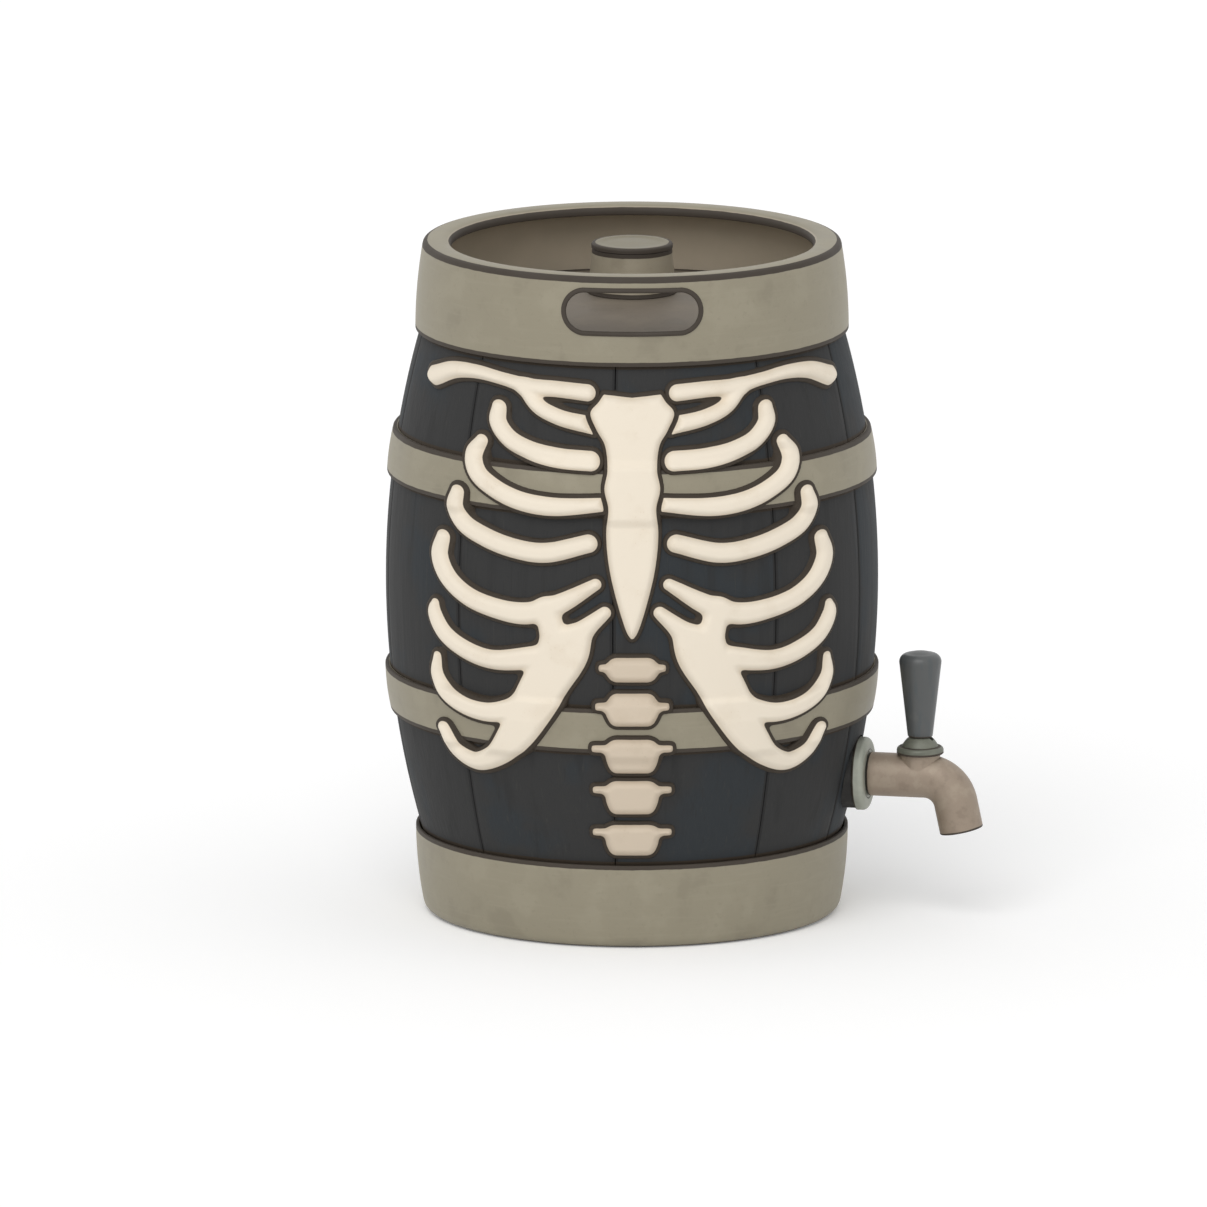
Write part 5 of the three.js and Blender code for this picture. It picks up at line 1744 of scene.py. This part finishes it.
LOWER_RIBS = (
    Strand((
        (-0.925, 0.654, 0.034), (-0.943, 0.615, 0.044), (-0.905, 0.573, 0.048), (-0.81, 0.54, 0.05),
        (-0.67, 0.522, 0.052), (-0.52, 0.518, 0.056), (-0.38, 0.538, 0.052), (-0.18, 0.587, 0.03),
    )),
    Strand((
        (-0.135, 0.528, 0.032), (-0.24, 0.488, 0.055), (-0.335, 0.44, 0.12), (-0.41, 0.385, 0.115),
        (-0.49, 0.32, 0.105), (-0.575, 0.255, 0.085), (-0.665, 0.207, 0.06), (-0.76, 0.186, 0.047),
        (-0.86, 0.204, 0.038), (-0.925, 0.25, 0.03),
    )),
    Strand(((-0.42, 0.53, 0.06), (-0.39, 0.48, 0.066), (-0.37, 0.42, 0.08))),
    Strand((
        (-0.965, 0.512, 0.02), (-0.968, 0.492, 0.036), (-0.92, 0.452, 0.044), (-0.82, 0.425, 0.048),
        (-0.69, 0.412, 0.05), (-0.48, 0.425, 0.06),
    )),
    Strand((
        (-0.955, 0.4, 0.02), (-0.955, 0.36, 0.034), (-0.91, 0.327, 0.042), (-0.82, 0.306, 0.046),
        (-0.7, 0.3, 0.05), (-0.53, 0.32, 0.06),
    )),
)
SIDES = {"clavicle": CLAVICLE, "rib_2": RIB_2, "rib_3": RIB_3, "rib_4": RIB_4, "lower_ribs": LOWER_RIBS}
STERNUM = Strand((
    (0, 0.978, 0.14), (0, 0.962, 0.165), (0, 0.94, 0.205), (0, 0.905, 0.175), (0, 0.875, 0.135),
    (0, 0.826, 0.122), (0, 0.787, 0.137), (0, 0.747, 0.118), (0, 0.696, 0.128), (0, 0.624, 0.114),
    (0, 0.543, 0.07), (0, 0.484, 0.024), (0, 0.473, 0.006),
))
# Each vertebra is (up, half its body's height, reach of its wings, rise of its wings). Up and half are
# shares of the cage's height, reach of its half-width, and rise of the body's half height.
VERTEBRAE = (
    (0.407, 0.0265, 0.166, 0.13), (0.3225, 0.0345, 0.183, 0.2), (0.2215, 0.0383, 0.2, 0.45),
    (0.13, 0.037, 0.194, 0.44), (0.0355, 0.0345, 0.194, 0.5),
)


@dataclass
class RibCage(Assembly):
    """The moulded bones: soft relief raised from a fine sheet and wrapped on the barrel."""

    half_width: float = 175
    bottom: float = 84
    height: float = 418
    unit: float = 175.02
    flange: float = 3.6
    flange_height: float = 1.8
    crest: float = 7.9
    foot: float = 0.6
    shoulder: float = 7
    fullness: float = 0.7
    skirt: float = 2.7
    skirt_inset: float = 1.2
    drop: float = 9
    thickness: float = 3
    furthest: float = 222.9
    notch: float = 2.5
    clearance: float = 0.35
    fillet: float = 5
    mesh_step: float = 1.15
    widest_stretch: float = 1.5
    body_half: float = 21.5
    wing_half: float = 3.4
    wing_end: float = 1.2
    wing_end_half: float = 1.8
    slope: float = 4.5
    corner_cuts: tuple[float, ...] = (2.4, 1.1)
    most_cut_share: float = 0.35

    @property
    def scale(self) -> tuple[float, float, float]:
        """What a row's three shares are multiplied by."""
        return self.half_width, self.height, self.unit

    def narrowing(self, places: np.ndarray) -> np.ndarray:
        """Gives how much narrower bones are drawn across where the barrel turns away."""
        cosine = np.sqrt(1 - (places[:, 0] / self.barrel.radius(places[:, 1] + self.bottom)) ** 2)
        return np.minimum(1, self.widest_stretch * cosine)

    def from_strand(self, sheet: np.ndarray, strand: Strand) -> np.ndarray:
        """Gives each sheet point's distance outside a stroke's edge, less than 0 inside it.

        Args:
            sheet: the points, as rows of (across, up).
            strand: the stroke.

        Returns:
            The distances, in millimetres.
        """
        found = np.full(len(sheet), np.inf)
        curve = strand.flow(self.scale)
        for (across, up, half), share in zip(curve, self.narrowing(curve)):
            away = np.hypot((sheet[:, 0] - across) / share, sheet[:, 1] - up) - half
            np.minimum(found, away, out=found)
        return found

    def from_outline(self, sheet: np.ndarray, outline: np.ndarray) -> np.ndarray:
        """Gives each sheet point's distance outside a closed outline, less than 0 inside it.

        Args:
            sheet: the points, as rows of (across, up).
            outline: the outline's points, in order.

        Returns:
            The distances, in millimetres.
        """
        nearest = np.full(len(sheet), np.inf)
        inside = np.zeros(len(sheet), bool)
        for start, end in zip(outline, np.roll(outline, -1, axis=0)):
            along, to_point = end - start, sheet - start
            share = np.clip(to_point @ along / max(float(along @ along), 1e-9), 0, 1)
            gap = to_point - share[:, None] * along
            np.minimum(nearest, (gap**2).sum(axis=1), out=nearest)
            crosses = (start[1] > sheet[:, 1]) != (end[1] > sheet[:, 1])
            if start[1] != end[1]:
                at = start[0] + (sheet[:, 1] - start[1]) * along[0] / along[1]
                inside ^= crosses & (sheet[:, 0] < at)
        return np.where(inside, -1, 1) * np.sqrt(nearest)

    def sternum_outline(self) -> np.ndarray:
        """Draws the sternum's outline, with a notch in its top.

        Returns:
            Its points, as rows of (across, up).
        """
        curve = STERNUM.flow(self.scale)
        right = np.column_stack([curve[:, 2], curve[:, 1]])
        left = right[::-1] * np.array([-1, 1])
        return np.vstack([right, left, [[0, curve[0, 1] - self.notch]]])

    def vertebra_outline(self, row: tuple[float, float, float, float]) -> np.ndarray:
        """Draws a vertebra's outline.

        Args:
            row: one row of the table of vertebrae.

        Returns:
            Its points, as rows of (across, up).
        """
        up, half, reach, rise = row
        middle, half = up * self.height, half * self.height
        tip, slope, body = reach * self.half_width, self.slope, self.body_half
        wing = middle + rise * half
        low, high = wing - self.wing_half, wing + self.wing_half
        right = [
            (body - slope, middle - half), (body, middle - half / 2), (body + slope / 2, low),
            (tip - self.wing_end, low), (tip, wing - self.wing_end_half), (tip, wing + self.wing_end_half),
            (tip - self.wing_end, high), (body + slope / 2, high), (body, high + slope / 4),
            (body - slope, middle + half),
        ]
        outline = np.array([*right, *((-x, y) for x, y in reversed(right))])
        for cut in self.corner_cuts:
            outline = self.softened(outline, cut)
        return outline

    def softened(self, outline: np.ndarray, cut: float) -> np.ndarray:
        """Cuts each corner of an outline off, at a distance along its two sides.

        Args:
            outline: the outline's points, in order.
            cut: how far from the corner it is cut, in millimetres.

        Returns:
            The outline with two points for each.
        """
        found = []
        for before, corner, after in zip(np.roll(outline, 1, axis=0), outline, np.roll(outline, -1, axis=0)):
            for other in (before, after):
                side = other - corner
                found.append(corner + side * min(cut / np.linalg.norm(side), self.most_cut_share))
        return np.array(found)

    def joined(self, distances: Sequence[np.ndarray]) -> np.ndarray:
        """Merges strokes, with a small fillet where they meet.

        Args:
            distances: the distance outside each stroke.

        Returns:
            The distance outside all of them together.
        """
        found = distances[0]
        for other in distances[1:]:
            share = np.clip(0.5 + 0.5 * (other - found) / self.fillet, 0, 1)
            found = other * (1 - share) + found * share - self.fillet * share * (1 - share)
        return found

    def sheet(self, name: str, low: Point, high: Point) -> Piece:
        """Lays a flat fine grid of (across, up) between two corners.

        Args:
            name: the piece's name.
            low: the lower corner.
            high: the upper corner.

        Returns:
            The grid.
        """
        wide, tall = high[0] - low[0], high[1] - low[1]
        self.bench.clear()
        bpy.ops.mesh.primitive_grid_add(
            x_subdivisions=math.ceil(wide / self.mesh_step), y_subdivisions=math.ceil(tall / self.mesh_step),
            size=MM, location=((low[0] + high[0]) / 2 * MM, (low[1] + high[1]) / 2 * MM, 0),
        )
        bpy.context.active_object.scale = (wide, tall, 1)
        return self.bench.named(name)

    def wrapped(self, sheet: np.ndarray, outside: np.ndarray) -> np.ndarray:
        """Raises a bone's sheet and wraps it on the barrel.

        Args:
            sheet: the sheet's points, as rows of X, Y and Z.
            outside: how far each of them lies outside the bone's edge.

        Returns:
            Their places on the barrel, about its axis.
        """
        inward = np.clip((self.foot - outside) / self.shoulder, 0, 1) ** self.fullness
        skirt_start, skirt_width = self.flange - self.skirt_inset, self.skirt + self.skirt_inset
        past = np.clip((outside - skirt_start) / skirt_width, 0, 1)
        lift = self.flange_height + (self.crest - self.flange_height) * eased(inward)
        lift -= self.drop * eased(past)
        height = sheet[:, 1] + self.bottom
        ground = self.barrel.ground(height)
        turn = np.arcsin(np.clip(sheet[:, 0] / ground, -0.999, 0.999))
        reach = np.minimum(ground + lift, self.furthest)
        return np.column_stack([reach * np.sin(turn), -reach * np.cos(turn), height])

    def relief(self, name: str, low: Point, high: Point, shape: Shape) -> Piece:
        """Raises one bone from a sheet.

        Args:
            name: the piece's name.
            low: the lower corner that holds the bone's drawn shape.
            high: the upper corner.
            shape: gives the distance of sheet points outside the bone's edge.

        Returns:
            The bone, closed, about the barrel's axis.
        """
        border = self.flange + self.skirt
        margin = border + 1
        bone = self.sheet(name, (low[0] - margin, low[1] - margin), (high[0] + margin, high[1] + margin))
        outside = shape(self.bench.places(bone)[:, :2])
        self.bench.open(bone, "DESELECT")
        self.bench.pick(bone, outside > border)
        bpy.ops.mesh.delete(type="VERT")
        bpy.ops.object.mode_set(mode="OBJECT")
        co = self.bench.places(bone)
        outside = shape(co[:, :2])
        self.bench.put(bone, self.wrapped(co, outside))
        self.bench.note(bone, EDGE, REACH + np.clip(outside, -REACH, REACH))
        self.bench.open(bone)
        bpy.ops.mesh.extrude_region_move()
        share = 1 - self.thickness / self.barrel.bulge_radius
        bpy.ops.transform.resize(value=(share, share, 1), center_override=(0, 0, 0))
        self.bench.face_out(bone)
        return bone

    def rib(self, name: str, strands: Sequence[Strand]) -> Piece:
        """Makes a bone of the left side from its strokes, fitted beside the sternum.

        Args:
            name: the piece's name.
            strands: its strokes.

        Returns:
            The bone, about the barrel's axis.
        """
        rows = np.vstack([strand.flow(self.scale) for strand in strands])
        low, high = (rows[:, :2] - rows[:, 2:]).min(axis=0), (rows[:, :2] + rows[:, 2:]).max(axis=0)
        sternum = self.sternum_outline()

        def shape(sheet: np.ndarray) -> np.ndarray:
            """Gives the distance outside the strokes, or inside the sternum's flange.

            Args:
                sheet: the points, as rows of (across, up).

            Returns:
                The distances, in millimetres.
            """
            drawn = self.joined([self.from_strand(sheet, strand) for strand in strands])
            beside = self.flange + self.clearance - self.from_outline(sheet, sternum)
            return np.maximum(drawn, beside)

        return self.relief(name, tuple(low), tuple(high), shape)

    def slab(self, name: str, outline: np.ndarray, above: Optional[np.ndarray] = None) -> Piece:
        """Makes a bone from an outline, fitted under the one above it.

        Args:
            name: the piece's name.
            outline: the outline's points, in order.
            above: the outline of the bone above it.

        Returns:
            The bone, about the barrel's axis.
        """

        def shape(sheet: np.ndarray) -> np.ndarray:
            """Gives the distance outside the outline, or inside the flange of the bone above.

            Args:
                sheet: the points, as rows of (across, up).

            Returns:
                The distances, in millimetres.
            """
            drawn = self.from_outline(sheet, outline)
            if above is None:
                return drawn
            return np.maximum(drawn, self.clearance - self.from_outline(sheet, above))

        return self.relief(name, tuple(outline.min(axis=0)), tuple(outline.max(axis=0)), shape)

    def build(self, pale: Material, tan: Material) -> None:
        """Makes all the bones, those of the right as mirrored copies.

        Args:
            pale: what the ribs and the sternum are made of.
            tan: what the vertebrae are made of.
        """
        sternum = self.sternum_outline()
        bones = [(self.slab("sternum_bone", sternum), "sternum")]
        for node, strands in SIDES.items():
            left = self.rib(f"{node}_left_bone", strands)
            right = self.bench.twin(left, f"{node}_right_bone")
            self.bench.settle(right, Matrix.Diagonal((-1, 1, 1, 1)))
            self.bench.face_out(right)
            bones += [(left, f"{node}_left"), (right, f"{node}_right")]
        outlines = [sternum, *(self.vertebra_outline(row) for row in VERTEBRAE)]
        for index, (above, outline) in enumerate(zip(outlines, outlines[1:]), 1):
            bones.append((self.slab(f"vertebra_{index}_bone", outline, above), f"vertebra_{index}"))
        for bone, node in bones:
            darker = node.startswith("vertebra")
            material, slot = (tan, Slot.DARKER_BONE) if darker else (pale, Slot.BONE)
            self.bench.set_down(bone, self.barrel.axis, material, Body.KEG, slot, node, angle=50)


@dataclass
class Workings:
    """The inner pieces, whose solids stay but for the spring, each with a finish of its own."""

    bench: Bench
    poppet_stroke: float = 8
    seam_gap: float = 0.005
    inner: tuple[str, ...] = ("vessel_shell_upper", "vessel_shell_lower")
    steel: tuple[str, ...] = (
        "valve_body", "valve_poppet", "spear_tube", "retaining_ring", "tap_shank", "shank_lock_nut", "lever",
        "plunger",
    )
    rubber: tuple[str, ...] = ("neck_seal", "inner_gasket", "wall_gasket", "friction_washer", "seat_washer")

    def spring(self, steel: Material) -> None:
        """Makes a rounder coil from the spring's solid. In the keg the spring shortens as the poppet goes
        down; this coil keeps one length.

        Args:
            steel: what it is made of.
        """
        coil = self.bench.twin(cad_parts["valve_spring"], "valve_spring_coil")
        self.bench.open(coil)
        self.bench.merge(self.seam_gap)
        bpy.ops.object.mode_set(mode="OBJECT")
        self.bench.modify(coil, "SUBSURF", levels=1)
        self.bench.smooth(coil, 50)
        self.bench.deliver(coil, steel, Body.KEG, Slot.STAINLESS, "valve_spring")
        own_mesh(coil)

    def build(self, inner: Material, steel: Material, rubber: Material) -> None:
        """Makes the spring and dresses the solids that stay.

        Args:
            inner: the vessel's finish.
            steel: the turned parts' finish.
            rubber: the seals' finish.
        """
        self.spring(steel)
        for nodes, material in ((self.inner, inner), (self.steel, steel), (self.rubber, rubber)):
            for node in nodes:
                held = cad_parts[node].data.materials
                held.clear()
                held.append(material)
                log.info("%s keeps its solid, dressed with %s", node, material.name)


# Studio


@dataclass
class Studio(Assembly):
    """A plain pale floor, soft light and the camera."""

    aim_aside: float = -24.9
    aim_height: float = 269.5
    elevation: float = 11.4
    distance: float = 24
    lens: float = 819.4
    sky: float = 0.7
    floor_glow: float = 0.13
    sun: float = 1.05
    sun_place: tuple[float, float, float] = (-2, -3, 4)
    sun_turn: tuple[float, float, float] = (40, -14, 0)
    sun_width: float = 40
    floor_size: float = 60
    floor_pale: Colour = (250, 250, 250)
    floor_dull: Colour = (247, 247, 247)
    film_width: float = 36
    sight: float = 200

    def seen(self, graph: Graph) -> Channel:
        """Gives 1 where the camera, a reflection or glass sees the surround, and 0 where it only lights.

        Args:
            graph: the graph of the floor or the world.

        Returns:
            The share.
        """
        rays = graph.add("ShaderNodeLightPath").outputs
        seen = Channel(graph, rays["Is Camera Ray"])
        for kind in ("Glossy", "Transmission"):
            seen = seen.most(Channel(graph, rays[f"Is {kind} Ray"]))
        return seen

    def floor(self) -> None:
        """Lays the floor, with a faint unevenness in its white."""
        self.bench.clear()
        bpy.ops.mesh.primitive_plane_add(size=self.floor_size)
        floor = self.bench.named("studio_floor")
        made = bpy.data.materials.new("floor_white")
        graph = Graph(made)
        clouds = graph.noise(graph.place(), 0.6, 2)
        colour = graph.blend(clouds * 0.2, self.floor_pale, self.floor_dull)
        glow = self.seen(graph) * self.floor_glow
        graph.surface(Base_Color=colour, Roughness=0.9, Emission_Color=(1, 1, 1, 1), Emission_Strength=glow)
        floor.data.materials.append(made)

    def light(self) -> None:
        """Sets a white surround for the camera and reflections, a softer one for light, and a wide lamp."""
        world = bpy.data.worlds.new("surround")
        bpy.context.scene.world = world
        graph = Graph(world)
        sockets = {"Color": (1, 1, 1, 1), "Strength": self.seen(graph) * (1 - self.sky) + self.sky}
        background = graph.add("ShaderNodeBackground", {}, sockets)
        graph.add("ShaderNodeOutputWorld", {}, {"Surface": background.outputs[0]})
        self.bench.clear()
        turn = tuple(math.radians(angle) for angle in self.sun_turn)
        bpy.ops.object.light_add(type="SUN", location=self.sun_place, rotation=turn)
        lamp = bpy.context.active_object
        lamp.name = "wide_lamp"
        lamp.data.energy = self.sun
        lamp.data.angle = math.radians(self.sun_width)

    def camera(self) -> None:
        """Stands the camera where the picture was taken from."""
        tilt = math.radians(self.elevation)
        aim = self.barrel.axis.translation + Vector((self.aim_aside, 0, self.aim_height)) * MM
        place = aim + Vector((0, -math.cos(tilt), math.sin(tilt))) * self.distance
        self.bench.clear()
        bpy.ops.object.camera_add(location=place, rotation=(math.radians(90) - tilt, 0, 0))
        camera = bpy.context.active_object
        camera.name = "picture_camera"
        camera.data.lens = self.lens
        camera.data.sensor_width = self.film_width
        camera.data.clip_end = self.sight
        bpy.context.scene.camera = camera

    def build(self) -> None:
        """Sets up the studio."""
        self.camera()
        self.floor()
        self.light()
        bpy.context.scene.view_settings.view_transform = "Standard"


def aged_metal(name: str, base: Colour, light: Colour, dark: Colour, **others: Any) -> Material:
    """Makes one of the aged metals from its three colours."""
    return AgedMetal(name, base=base, light=light, dark=dark, **others).material()


def main() -> None:
    """Builds every sub-assembly in order."""
    logging.basicConfig(level=logging.INFO, format="%(name)s: %(message)s", stream=sys.stdout)
    bench, barrel = Bench(), Barrel()
    tap = Tap(bench, barrel)
    Studio(bench, barrel).build()

    wood = PaintedWood("charcoal_stave", line_heights=barrel.seams).material()
    aged = AgedMetal("aged_steel", brushed=True).material()
    # Painted shade: the heads take a darker steel than the chimes, standing for the shade down in the well.
    well = aged_metal("well_steel_painted_shade", (114, 105, 93), (122, 113, 100), (103, 95, 83), roughness=0.6)
    neck = aged_metal("neck_steel", (160, 151, 132), (168, 159, 140), (148, 139, 121))
    lid = aged_metal("lid_steel", (122, 115, 95), (129, 122, 103), (111, 105, 86), scale=2)
    cast = {"line_width": 1.3, "scale": 3}
    pewter = aged_metal("pewter", (158, 161, 149), (168, 170, 158), (143, 147, 135), **cast)
    bonnet = aged_metal("bonnet_pewter", (107, 109, 98), (117, 119, 107), (95, 98, 87), **cast)
    bronze = aged_metal("bronze", (151, 136, 120), (162, 148, 131), (136, 121, 106), **cast)
    inner = aged_metal("inner_steel", (120, 121, 119), (132, 133, 131), (105, 106, 104))
    grip = HandleResin("handle_resin", line_width=1.2).material()
    bone = BoneResin("bone_resin").material()
    # The vertebrae's second colour is their painted edge shade, also used for their pores.
    darker = {"base": (209, 194, 174), "painted_shade_and_pores": (186, 169, 146), "stain": (199, 183, 162)}
    tan = BoneResin("darker_bone", **darker).material()
    steel = Stainless("turned_stainless").material()
    rubber = Rubber("black_rubber").material()

    Jacket(bench, barrel, tap).build(wood)
    Hoops(bench, barrel).build(aged)
    Chimes(bench, barrel).build(aged)
    Well(bench, barrel).build(well, neck, lid)
    tap.build(pewter, bronze, bonnet, grip)
    RibCage(bench, barrel).build(bone, tan)
    Workings(bench).build(inner, steel, rubber)


if __name__ == "__main__":
    main()
